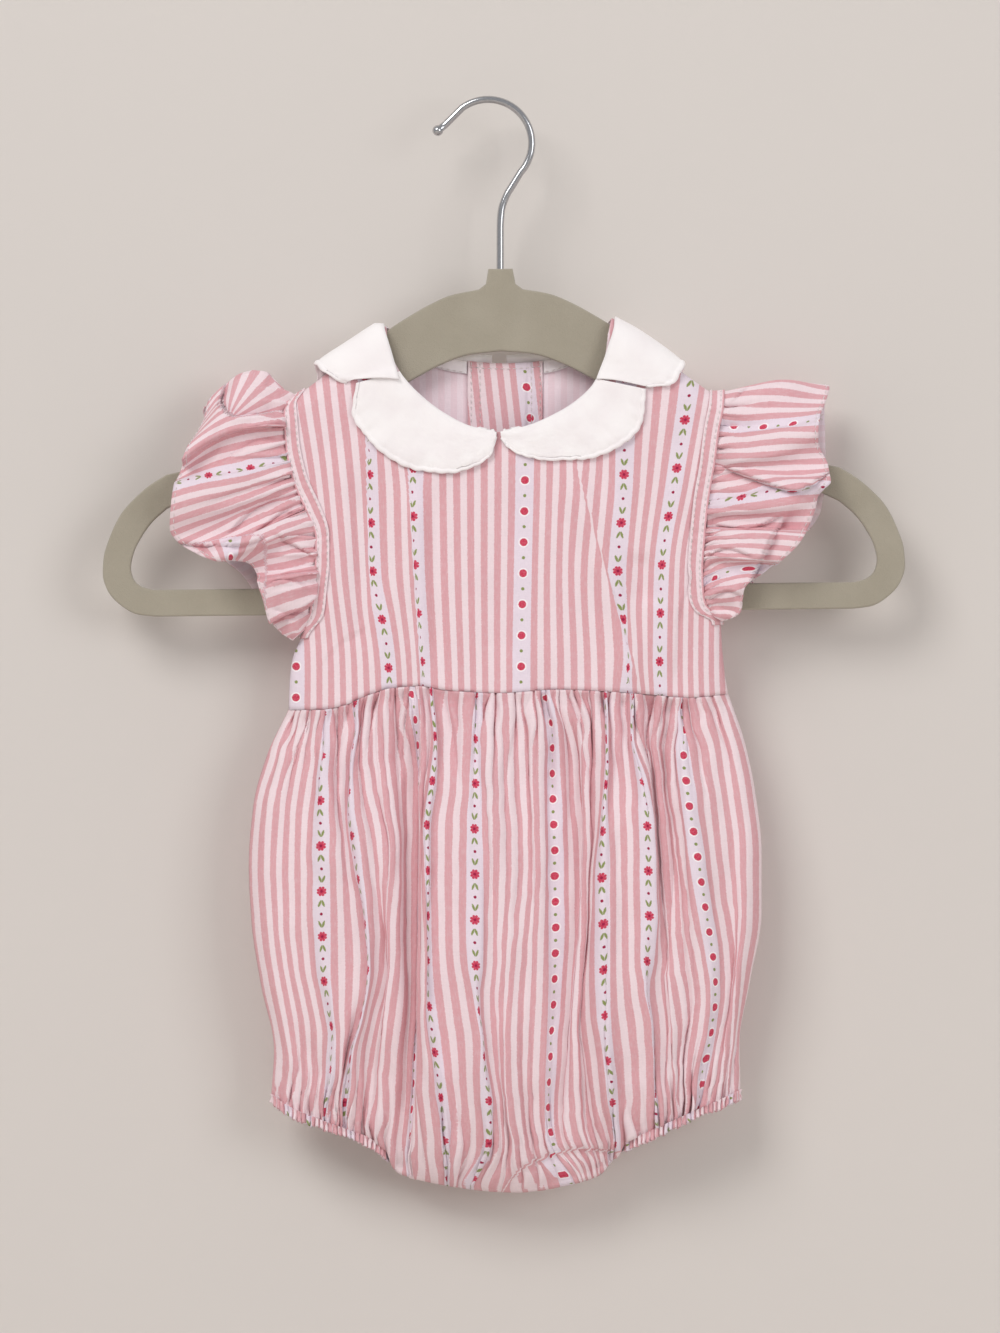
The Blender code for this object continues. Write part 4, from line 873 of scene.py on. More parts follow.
def flat_cloth(tree):
    """The place on the flat cloth, in millimetres."""
    layer = new_node(tree, "UVMap")
    layer.uv_map = "cloth"
    parts = new_node(tree, "SeparateXYZ", Vector=layer.outputs["UV"])
    return tuple(Number(tree, parts.outputs[axis]) * 1000.0 for axis in "XY")


def stripes(across, start, end, pitch):
    run = across.centred(pitch, start + STRIPE / 2).absolute().less(STRIPE / 2, STRIPE_SOFT)
    return run * across.within(start - 0.4, end + 0.4, PRINT_SOFT)


def leaf(side, down):
    """The two leaves of a motif, meeting at the top: each is widest at its middle."""
    (start_x, start_y), (run_x, run_y) = LEAF
    length = run_x**2 + run_y**2
    x, y = side.absolute() - start_x, down - start_y
    share = (x * (run_x / length) + y * (run_y / length)).math("MAXIMUM", 0.0).math("MINIMUM", 1.0)
    far = reach(x - share * run_x, y - share * run_y)
    wide = share * (share * -1.0 + 1.0) * 1.1 + 0.26
    return far.less(wide, 0.2)


def petals(side, down, middle, size):
    """A ring of round petals: the nearest one's distance, set against its size."""
    turn = 2 * math.pi / PETALS
    angle = down.math("ARCTAN2", side).centred(turn, turn / 2)
    far = reach(side, down)
    across, out = far * angle.math("SINE"), far * angle.math("COSINE") - middle
    return reach(across, out).less(size, 0.13)


def cotton(name, motifs, showing=1.0):
    """Striped cotton with its ribbons of flowers and dots. showing is how much of the print comes
    through: 1 on the right side."""
    flower_pitch, dot_pitch, dot_from, second_shift = motifs
    made, tree, shader = new_material(name, 0.85, sheen=0.08)
    u, v = flat_cloth(tree)
    threads = noise_at(tree, u * 2.2, v * 0.35)
    weft = noise_at(tree, u * 0.3, v * 2.4)
    cloudy = noise_at(tree, u, v, 0.045, 2.0)
    ragged = noise_at(tree, u, v, 1.3)
    across = (u + (ragged - 0.5) * 0.5).math("FLOORED_MODULO", REPEAT)
    pink = most_of(stripes(across, *run) for run in STRIPE_RUNS)
    ribbon = most_of(across.within(start, end, PRINT_SOFT) for start, end in RIBBON_RUNS)
    second = across.math("GREATER_THAN", SECOND_FROM)
    side = across - FIRST_MIDDLE - second * SECOND_APART
    down = (v + second * second_shift).centred(flower_pitch, 0.0)
    far = reach(side, down)
    flower = petals(side, down, 1.62, 0.62).most(far.less(1.4, 0.15))
    heart = far.less(0.62, 0.2)
    leaves = leaf(side, down - 5.4).most(leaf(side, (down + 5.5) * -1.0))
    small = reach(side, down.absolute() - flower_pitch / 2).less(0.66, 0.15)
    dot_side, dot_down = across - DOTS_MIDDLE, v.centred(dot_pitch, dot_from)
    dot_far = reach(dot_side, dot_down)
    dots = dot_far.less(1.75, 0.16)
    halo = dot_far.less(2.35, 0.2)
    specks = reach(dot_side, v.centred(dot_pitch, dot_from + dot_pitch / 2)).less(0.72, 0.15)
    base = mixed(tree, ribbon, GROUND, RIBBON)
    base = mixed(tree, halo, base, HALO)
    base = mixed(tree, pink * ((threads - 0.5) * 0.9 + 0.95), base, PINK)
    base = mixed(tree, leaves.most(specks), base, OLIVE)
    base = mixed(tree, flower.most(dots) * (ragged * 0.25 + 0.82), base, CRIMSON)
    base = mixed(tree, heart.most(small), base, DARK_DOT)
    if showing < 1:
        base = mixed(tree, showing, WRONG, base)
    tone = new_node(tree, "HueSaturation", Color=base)
    light = (threads - 0.5) * 0.10 + (weft - 0.5) * 0.10 + (cloudy - 0.5) * 0.08 + 1.0
    feed(tree, tone.inputs["Value"], light)
    feed(tree, shader.inputs["Base Color"], tone.outputs["Color"])
    crumple = noise_at(tree, u * 0.11, v * 0.045, detail=4.0)
    bumped(tree, shader, crumple + threads * 0.05 + weft * 0.05, 0.0012, 0.55)
    return made


def plain_cotton(name, colour, shade):
    made, tree, shader = new_material(name, 0.8, sheen=0.1)
    u, v = flat_cloth(tree)
    threads = noise_at(tree, u * 2.4, v * 0.5)
    weft = noise_at(tree, u * 0.5, v * 2.4)
    cloudy = noise_at(tree, u, v, 0.05, 2.0)
    feed(tree, shader.inputs["Base Color"], mixed(tree, (cloudy - 0.5) * 1.6 + 0.35, colour, shade))
    crumple = noise_at(tree, u * 0.06, v * 0.09, detail=3.0)
    bumped(tree, shader, crumple + threads * 0.04 + weft * 0.04, 0.0012, 0.6)
    return made


def flocking():
    made, tree, shader = new_material("velvet_flocking", 1.0, sheen=0.35)
    fibres = noise_on(tree, 2600.0, 2.0)
    patches = noise_on(tree, 45.0, 3.0)
    base = mixed(tree, fibres, "9A9281", GREIGE)
    base = mixed(tree, (patches - 0.5) * 0.9 + 0.3, base, "B0A898")
    feed(tree, shader.inputs["Base Color"], base)
    bumped(tree, shader, fibres + patches * 0.6, 0.0006, 0.5)
    return made


def speckled(name, scale, detail, colours, bump, roughness, metallic=0.0):
    """A plain material between two colours, made uneven by one noise."""
    made, tree, shader = new_material(name, roughness, metallic=metallic)
    specks = noise_on(tree, scale, detail)
    feed(tree, shader.inputs["Base Color"], mixed(tree, specks, *colours))
    bumped(tree, shader, specks, *bump)
    return made


PRINT = cotton("striped_cotton", BODICE_MOTIFS)
BUBBLE_COTTON = cotton("striped_cotton_bubble", BUBBLE_MOTIFS)
INSIDE = cotton("striped_cotton_inside", BODICE_MOTIFS, INSIDE_SHOWING)
BUBBLE_INSIDE = cotton("bubble_inside", BUBBLE_MOTIFS, INSIDE_SHOWING)
WHITE = plain_cotton("white_cotton", COLLAR_WHITE, "F1E9EA")
BINDING = plain_cotton("white_binding", "F6EFF0", "EADFE3")
FLOCK = flocking()
CHROME = speckled("chrome_wire", 900.0, 2.0, ("C9C9CB", "A9AAAD"), (0.00005, 0.3), 0.16, 1.0)
BUTTON = speckled("pearl_button", 260.0, 3.0, ("F4EEE9", "E2D6D2"), (0.0001, 0.3), 0.3)
SEWING = speckled("sewing_thread", 2200.0, 1.0, ("F7F0EE", "DCCFD0"), (0.0002, 0.4), 0.6)

# The slot of each kind of cloth, and the materials of its right side and its wrong side.
STRIPED = ("striped_cotton", (PRINT, INSIDE))
GATHERED = ("striped_cotton", (BUBBLE_COTTON, BUBBLE_INSIDE))
COLLAR = ("white_cotton", (WHITE, WHITE))
BOUND = ("white_cotton", (BINDING, BINDING))


# ---------------------------------------------------------------- meshes
def placed(name, data):
    """A new object in the scene."""
    thing = bpy.data.objects.new(name, data)
    bpy.context.scene.collection.objects.link(thing)
    return thing


def built(name, points, faces, cloth, slots, materials):
    """A mesh object from points in millimetres. cloth is the place on the flat cloth of each."""
    mesh = bpy.data.meshes.new(name)
    mesh.vertices.add(len(points))
    mesh.vertices.foreach_set("co", row_frame(points).ravel())
    mesh.loops.add(faces.size)
    mesh.loops.foreach_set("vertex_index", faces.ravel())
    mesh.polygons.add(len(faces))
    mesh.polygons.foreach_set("loop_start", np.arange(0, faces.size, 4))
    mesh.polygons.foreach_set("material_index", np.asarray(slots, np.int32))
    mesh.polygons.foreach_set("use_smooth", np.ones(len(faces), bool))
    layer = mesh.uv_layers.new(name="cloth")
    layer.data.foreach_set("uv", (cloth[faces.ravel()] * MM).ravel())
    mesh.update(calc_edges=True)
    mesh.validate()
    for material in materials:
        mesh.materials.append(material)
    piece = placed(name, mesh)
    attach(piece, "root")
    return piece


def shell(name, grid, cloth, materials, wall=FINE_CLOTH, outer=1, keep=None, thin=None):
    """A closed thin wall round a sheet of points. materials are the right side's and the wrong
    side's. outer is 1 where the sheet's normals face the right side. thin scales the wall."""
    half = normals(grid) * wall / 2
    if thin is not None:
        half = half * thin[..., None]
    faces = [grid + half, grid - half]
    if keep:
        faces = [keep(face) for face in faces]
    rows, columns = grid.shape[:2]
    at = np.arange(rows * columns).reshape(rows, columns)
    rear = at + rows * columns
    quads = [squares(at)[:, [0, 3, 2, 1]], squares(rear)]
    rims = [(at[0, :-1], at[0, 1:], rear[0, 1:], rear[0, :-1]),
            (at[-1, 1:], at[-1, :-1], rear[-1, :-1], rear[-1, 1:]),
            (at[1:, 0], at[:-1, 0], rear[:-1, 0], rear[1:, 0]),
            (at[:-1, -1], at[1:, -1], rear[1:, -1], rear[:-1, -1])]
    quads += [np.stack(rim, -1) for rim in rims]
    slots = [np.full(len(quad), 0) for quad in quads]
    slots[1 if outer > 0 else 0][:] = 1
    points = np.concatenate([face.reshape(-1, 3) for face in faces])
    flat = np.concatenate([cloth.reshape(-1, 2)] * 2)
    return built(name, points, np.concatenate(quads), flat, np.concatenate(slots), materials)


def cloth_of(u, v):
    return np.stack(np.broadcast_arrays(u, v), axis=-1).astype(float)


def dressed(node, slot):
    """Hides the CAD's node, so that the piece shows in its place. slot is not used."""
    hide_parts(node)


def sheet(node, kind, grid, cloth, rests_on, held="hung", flat=None, **wall):
    """A piece of cloth in place of the CAD's node, made by shell(). cloth is each point's place
    in the print, and flat the one on the piece as it was cut, where that isn't the same."""
    slot, materials = kind
    piece = shell(f"{node}_cloth", grid, cloth, materials, **wall)
    dressed(node, slot)
    cloth = cloth if flat is None else flat
    one, two = (cloth[1:, 1:] - cloth[:-1, :-1]), (cloth[1:, :-1] - cloth[:-1, 1:])
    area = np.abs(one[..., 0] * two[..., 1] - one[..., 1] * two[..., 0]).sum() / 2
    size = tuple(max(float(np.ptp(cloth[..., k])) * MM, 0.01) for k in (0, 1))


def joined(bm, rings):
    """Faces between closed rings of vertices, each with the next."""
    for one, two in zip(rings, rings[1:]):
        for i in range(len(one)):
            j = (i + 1) % len(one)
            bm.faces.new((one[i], one[j], two[j], two[i]))


def wrapped(name, rings, material):
    """A closed solid round rings of points in millimetres, with both ends filled."""
    bm = bmesh.new()
    loops = [[bm.verts.new(p) for p in row_frame(ring)] for ring in rings]
    joined(bm, loops)
    bm.faces.new(loops[0])
    bm.faces.new(loops[-1])
    return object_of(name, bm, material)


def object_of(name, bm, material):
    bmesh.ops.recalc_face_normals(bm, faces=bm.faces)
    mesh = bpy.data.meshes.new(name)
    bm.to_mesh(mesh)
    bm.free()
    mesh.polygons.foreach_set("use_smooth", np.ones(len(mesh.polygons), bool))
    mesh.materials.append(material)
    piece = placed(name, mesh)
    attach(piece, "root")
    return piece


def tube(name, path, radii, sides, material):
    """A round bar along a path of points, with its own radius at each, closed at both ends."""
    tangent = unit(np.gradient(path, axis=0))
    across = np.array([0.0, 1.0, 0.0])
    turn = np.linspace(0, 2 * math.pi, sides, endpoint=False)
    rings = []
    for point, ahead, radius in zip(path, tangent, radii):
        side = np.cross(ahead, across)
        round_it = np.outer(np.cos(turn), across) + np.outer(np.sin(turn), side)
        rings.append(point + radius * round_it)
    return wrapped(name, rings, material)


def thread_line(points, out):
    """A line for stitches: the thread's path just off the cloth, and the way out of the cloth."""
    return points + out * THREAD_OUT, out


def stitches(name, lines, length, gap, wide):
    """Rows of stitches: each is a low bridge with a three-sided section."""
    rise = np.array([0.0, 0.32, 0.32, 0.0])[:, None]
    size = np.array([0.55, 1.0, 1.0, 0.55])[:, None] * wide
    points, faces = [], []
    for path, outwards in lines:
        run = lengths(path)
        for start in np.arange(0.5, run[-1] - length, length + gap):
            at = np.linspace(start, start + length, len(rise))
            middle, out = at_lengths(at, run, path), unit(at_lengths(at, run, outwards))
            ahead = middle[-1] - middle[0]
            ahead /= np.linalg.norm(ahead)
            side = np.cross(ahead, out)
            ring = [middle + out * (rise - 0.2) - side * size,
                    middle + out * (rise + 0.16 * size / wide),
                    middle + out * (rise - 0.2) + side * size]
            first = len(points)
            points.extend(np.stack(ring, 1).reshape(-1, 3))
            for k in range(first, first + 9, 3):
                faces += [(k + a, k + b, k + 3 + b, k + 3 + a) for a, b in ((0, 1), (1, 2), (2, 0))]
    points, faces = np.array(points), np.array(faces)
    flat = np.zeros((len(points), 2))
    built(name, points, faces, flat, np.zeros(len(faces)), [SEWING])


# ---------------------------------------------------------------- the hanger
def inset(loop, distance):
    one, two = unit(loop - np.roll(loop, 1, axis=0)), unit(np.roll(loop, -1, axis=0) - loop)
    normal = unit(np.stack([-(one + two)[:, 1], (one + two)[:, 0]], axis=1))
    cosine = np.maximum((normal * np.stack([-one[:, 1], one[:, 0]], axis=1)).sum(1), 0.6)
    return loop + normal * (distance / cosine)[:, None]


def anticlockwise(loop):
    loop = np.asarray(loop, float)
    ahead = np.roll(loop, -1, axis=0)
    area = (loop[:, 0] * ahead[:, 1] - ahead[:, 0] * loop[:, 1]).sum()
    return loop if area > 0 else loop[::-1]


def mirrored(half):
    return [(-x, drop) for x, drop in half[::-1]]


def curve_of(points, count):
    return list(map(tuple, along(points, np.linspace(0, 1, count))))


def make_hanger():
    half = [*BOSS, *curve_of(ARM_TOP, 40), *ARM_NOTCH, *curve_of(ARM_END, 40)]
    outer = anticlockwise(tilted([*half, *mirrored(half)]))
    under = [*curve_of(ARM_UNDER[:8], 40), *curve_of(ARM_UNDER[8:], 30)]
    inner = anticlockwise(tilted([*under, *mirrored(under[1:])]))
    rounds = [(HANGER_THICK / 2 - HANGER_EDGE * (1 - math.sin(a)), HANGER_EDGE * (1 - math.cos(a)))
              for a in np.linspace(0, math.pi / 2, 5)]
    levels = [(-y, move) for y, move in rounds[::-1]] + rounds
    bm = bmesh.new()
    edges = {0: [], -1: []}
    for loop, inwards in ((outer, 1), (inner, -1)):
        layers = []
        for y, move in levels:
            flat = inset(loop, move * inwards)
            layers.append([bm.verts.new(p) for p in row_frame(np.insert(flat, 1, y, axis=1))])
        joined(bm, layers)
        for cap in edges:
            line = layers[cap]
            edges[cap].extend(bm.edges.get((a, b)) for a, b in zip(line, line[1:] + line[:1]))
    for cap in edges:
        bmesh.ops.triangle_fill(bm, use_beauty=True, use_dissolve=False, edges=edges[cap])
    plate = object_of("hanger_plate", bm, FLOCK)
    flat_faces = [abs(p.normal.y) > 0.99 for p in plate.data.polygons]
    plate.data.polygons.foreach_set("use_smooth", [not flat for flat in flat_faces])
    dressed("hanger_body", "flocked_plastic")


def make_hook():
    turn = np.radians(np.linspace(*HOOK_TURN, 60))
    arc = (-CENTRE_X, HOOK_R - WIRE_R) + HOOK_R * np.stack([np.sin(turn), -np.cos(turn)], axis=1)
    stem = along([*HOOK_STEM, tuple(arc[0])], np.linspace(0, 0.97, 24))
    end, ball = np.array(HOOK_TIP, float)
    line = [*stem, *arc, end]
    radii = [WIRE_R] * len(line)
    far = np.linalg.norm(ball - end)
    for angle in np.radians(np.linspace(45, 170, 12)):
        line.append(end + (ball - end) / far * (far - BALL_R * math.cos(angle)))
        radii.append(BALL_R * math.sin(angle))
    hook = tube("hook_wire", np.insert(line, 1, 0.0, axis=1), radii, 20, CHROME)
    dressed("hanger_hook", "chrome_wire")


# ---------------------------------------------------------------- the bodice
def held_to(points, axis, limit, pick):
    """The points with one coordinate held to a limit."""
    points = points.copy()
    points[..., axis] = pick(points[..., axis], limit)
    return points


def front_side(points):
    return held_to(points, 1, -SEAM_HALF, np.minimum)


def back_side(points):
    return held_to(points, 1, SEAM_HALF, np.maximum)


def above_waist(points):
    return held_to(points, 2, waist_line(points[..., 0]) - WAIST_HALF, np.minimum)


def below_waist(points):
    return held_to(points, 2, waist_line(points[..., 0]) + WAIST_HALF, np.maximum)


def overlap_step(x):
    """The back's right half lies behind its left half where they overlap."""
    return (CLOTH + GAP + 0.3) * (1 - ease(PLACKET[1] + 1.0, PLACKET[1] + 13.0, x))


def bodice_print(x, drop):
    """Millimetres across the print, from where its ribbons run."""
    lines = [curve(drop) for curve in columns_of(BODICE_RIBBONS)]
    lines = [lines[0] - PRINT_BEYOND, *lines, lines[-1] + PRINT_BEYOND]
    marks = [RIBBON_AT[0] - PRINT_BEYOND, *RIBBON_AT, RIBBON_AT[-1] + PRINT_BEYOND]
    across = np.zeros_like(x)
    for low, high, start, end in zip(lines, lines[1:], marks, marks[1:]):
        share = (x - low) / (high - low)
        across = np.where((x >= low) & (x < high), start + (end - start) * share, across)
    for hidden, line in FRONT_TUCKS:
        top, foot = line[0][0], line[-1][0]
        fade = ease(top, top + 25, drop) * (1 - ease(foot - 12, foot + 8, drop))
        far = x - smooth(*zip(*line))(drop)
        spread = np.clip(far / 26 + 0.5, 0, 1)
        across = across + hidden * fade * (ease(-0.35, 0.35, far) - spread)
    return across


def wrinkles(x, drop, seed):
    """Small soft wrinkles of hanging cotton, in millimetres."""
    total = 0.55 * noise(x / 13 + drop / 60, drop / 38, seed)
    total += 0.28 * noise(x / 6.5 - drop / 50, drop / 17, seed + 1)
    total += 0.10 * noise(x / 3.2, drop / 9, seed + 2)
    return total


def seam_puckers(drop_from_seam, x, seed):
    """Short puckers that a line of stitching pulls into the cloth beside it."""
    fade = np.exp(-np.maximum(drop_from_seam, 0) / 4.0)
    return 0.5 * fade * noise(x / 2.6, drop_from_seam / 14, seed)


def make_bodice():
    panels = []
    for node, flat, back, seed, ends in (
            ("front_bodice", bodice_panel(NECK_FRONT, 190), False, 3, (0, -1)),
            ("back_bodice_left", bodice_panel(NECK_BACK, 96, x_to=PLACKET[1]), True, 21, (0,)),
            ("back_bodice_right", bodice_panel(NECK_BACK, 96, x_from=PLACKET[0]), True, 31, (-1,))):
        side = 1 if back else -1
        panel = (on_back if back else on_front)(flat)
        x, drop = panel[..., 0], panel[..., 2]
        if node == "back_bodice_right":
            panel[..., 1] += overlap_step(x)
        calm = ease(2, 22, drop - ridge(x))
        calm = calm * ease(0, 14, np.minimum(x - ring_left(drop), ring_right(drop) - x))
        puckers = seam_puckers(waist_line(x) - drop, x, seed + 5)
        panel[..., 1] += side * (wrinkles(x, drop, seed) * calm + puckers * calm)
        fade = ease(UNDERARM_LINE - 10, UNDERARM_LINE, np.arange(len(panel)))
        for column in ends:
            panel[:, column, 1] = panel[:, column, 1] * (1 - fade) + side * SEAM_HALF * fade
        if back:
            cloth = cloth_of(60.0 - x * 1.02, drop - FLOWER_DROP + 6.0)
        else:
            cloth = cloth_of(bodice_print(x, drop), drop - FLOWER_DROP)
        own_side = back_side if back else front_side
        sheet(node, STRIPED, panel, cloth, "hanger_plate", outer=-side,
              keep=lambda points: above_waist(own_side(points)))
        panels.append(panel)
    return panels[0], panels[1:]


def make_neck_inside(backs):
    neck = smooth(*zip(*NECK_BACK))
    columns, rows = 61, 101
    xs = np.linspace(*FACING, columns)
    top = neck(xs) - 0.6
    drops = top + (FACING_END - top) * np.linspace(0, 1, rows)[:, None]
    flat = np.stack([np.broadcast_to(xs, (rows, columns)), drops], axis=-1)
    grid = settled(on_back(flat), TRIM_LIES, backs)
    edge = np.minimum(xs - FACING[0], FACING[1] - xs)[None]
    grid[..., 1] -= 0.25 * noise(xs[None] / 2.2, drops / 3.0, 41) * np.exp(-edge / 3.0) + 0.3
    cloth = cloth_of(flat[..., 0] - 6.6 - 0.11 * (drops - 125.7), drops - 131.0)
    sheet("placket_facing", STRIPED, grid, cloth, "back_bodice_left_cloth")
    out = normals(grid)
    lines = []
    for at in (1.6, 5.2):
        for column in np.searchsorted(xs, (FACING[0] + at, FACING[1] - at)):
            lines.append(thread_line(grid[:, column], out[:, column]))
    lines.append(thread_line(grid[2], out[2]))
    for name, start, end in (("left", NECK_BACK[0][0], FACING[0] - 0.4),
                             ("right", FACING[1] + 0.4, NECK_BACK[-1][0])):
        xs = np.linspace(start, end, 40)
        top = neck(xs) - 0.5
        shares = np.linspace(0, 1, 9)
        flat = np.stack([np.stack([xs, top + (BINDING_WIDE + 0.6) * r], -1) for r in shares])
        strip = settled(on_back(flat), TRIM_LIES, backs)
        strip[..., 1] -= 0.2 * noise(xs[None] / 2.0, shares[:, None] * 2, 43) + 0.3
        sheet(f"neck_binding_{name}", BOUND, strip, flat, f"back_bodice_{name}_cloth")
        lines.append(thread_line(strip[7], normals(strip)[7]))
    stitches("neck_stitching", lines, 2.0, 0.8, 0.22)


def make_buttons():
    turn = np.linspace(0, 2 * math.pi, 40, endpoint=False)
    for number, drop in enumerate(BUTTON_DROPS, 1):
        start = float(depth(0.0, drop, True) + overlap_step(0.0)) + CLOTH / 2 + GAP
        rings = [np.stack([np.cos(turn) * BUTTON_R * size, np.full(len(turn), start + out),
                           drop + np.sin(turn) * BUTTON_R * size], axis=1)
                 for out, size in BUTTON_SHAPE]
        piece = wrapped(f"back_button_{number}", rings, BUTTON)
        dressed(f"button_{number}", "button")
        crosses = []
        for way in (1, -1):
            ends = np.array([[-0.9, 0.0, -0.9 * way], [0.9, 0.0, 0.9 * way]])
            path = ends + (0.0, start + 1.65, drop)
            crosses.append((np.linspace(*path, 6), np.tile((0.0, 1.0, 0.0), (6, 1))))
        stitches(f"button_thread_{number}", crosses, 2.0, 0.5, 0.3)


# ---------------------------------------------------------------- armholes and ruffles
def armhole_strip(front, back, left, offsets):
    """Points beside an armhole at these distances from its edge, from the front underarm over the
    shoulder to the back one."""
    rows = []
    for panel in (front, back):
        part = panel[:UNDERARM_LINE + 1]
        part = (part if left else part[:, ::-1])[:, :60]
        rows.append(np.array([at_lengths(offsets, lengths(row), row) for row in part]))
    down_front, down_back = rows
    top = (down_front[:1] + down_back[:1]) / 2
    strip = np.concatenate([down_front[:0:-1], top, down_back[1:]])
    return strip[:, ::-1] if left else strip


def make_band(side, front, backs):
    left = side == "left"
    offsets = np.linspace(0, ARM_BAND_WIDE, 15)
    strip = armhole_strip(front, backs[0] if left else backs[1], left, offsets)
    shares = np.linspace(0, 1, 260)
    strip = np.stack([along(column, shares, True) for column in strip.swapaxes(0, 1)], axis=1)
    grid = settled_over(strip, TRIM_LIES, [front], backs)
    from_edge = offsets[::-1] if left else offsets
    far = from_edge[None]
    run = np.linspace(0, ARM_BAND_LONG, len(shares))[:, None]
    pucker = 0.28 * noise(run / 2.3, far / 5, 51) + 0.22 * noise(run / 6, far / 9, 52)
    roll = 0.35 * np.exp(-(far / 0.9) ** 2)
    grid = grid + normals(grid) * ((pucker + 0.1) * off_ends(run) + roll - 0.12)[..., None]
    cloth = cloth_of(10.0 + far * 1.15, run)
    sheet(f"armhole_band_{side}", STRIPED, grid, cloth, "front_bodice_cloth")
    out = normals(grid)
    columns = [int(np.argmin(np.abs(from_edge - at))) for at in (1.3, 5.9)]
    lines = [thread_line(grid[:, column], out[:, column]) for column in columns]
    stitches(f"armhole_stitching_{side}", lines, 1.9, 0.9, 0.24)
    return strip


def fold_slope(phase, sharp):
    """The slope of waves, one per unit: soft ones, or round ridges with sharp valleys."""
    saw = 1 - 2 * (phase - np.floor(phase))
    return (1 - sharp) * np.cos(2 * math.pi * phase) + sharp * saw


def laid_in_waves(u, marks, places, slopes, sunk, evened):
    """Cloth laid in waves so that its marks come to their places. u is the flat cloth across,
    marks are on it, places has a row of positions for each row of cloth, slopes are the waves
    and sunk the deeper folds. Returns each point's position and the waves' height there."""
    step = np.diff(u)
    part = np.clip(np.searchsorted(marks, (u[1:] + u[:-1]) / 2) - 1, 0, len(marks) - 2)
    first = np.searchsorted(part, np.arange(len(marks) - 1))
    room = np.maximum(np.diff(places, axis=1), 0.05)

    def width(scale):
        rise = np.tanh(sunk + slopes * scale)
        return np.sqrt(np.maximum(1 - rise**2, 0.003)) * step

    low, high = np.zeros_like(room), np.full_like(room, 6.0)
    for _ in range(20):
        scale = (low + high) / 2
        too_wide = np.add.reduceat(width(scale[:, part]), first, axis=1) > room
        low, high = np.where(too_wide, scale, low), np.where(too_wide, high, scale)
    scale = running_mean(scale[:, part], evened)
    wide = width(scale)
    wide = wide * (room / np.add.reduceat(wide, first, axis=1))[:, part]
    start = np.zeros((len(wide), 1))
    position = places[:, :1] + np.concatenate([start, np.cumsum(wide, axis=1)], axis=1)
    height = np.cumsum(np.tanh(slopes * scale) * step, axis=1)
    return position, np.concatenate([start, height], axis=1)


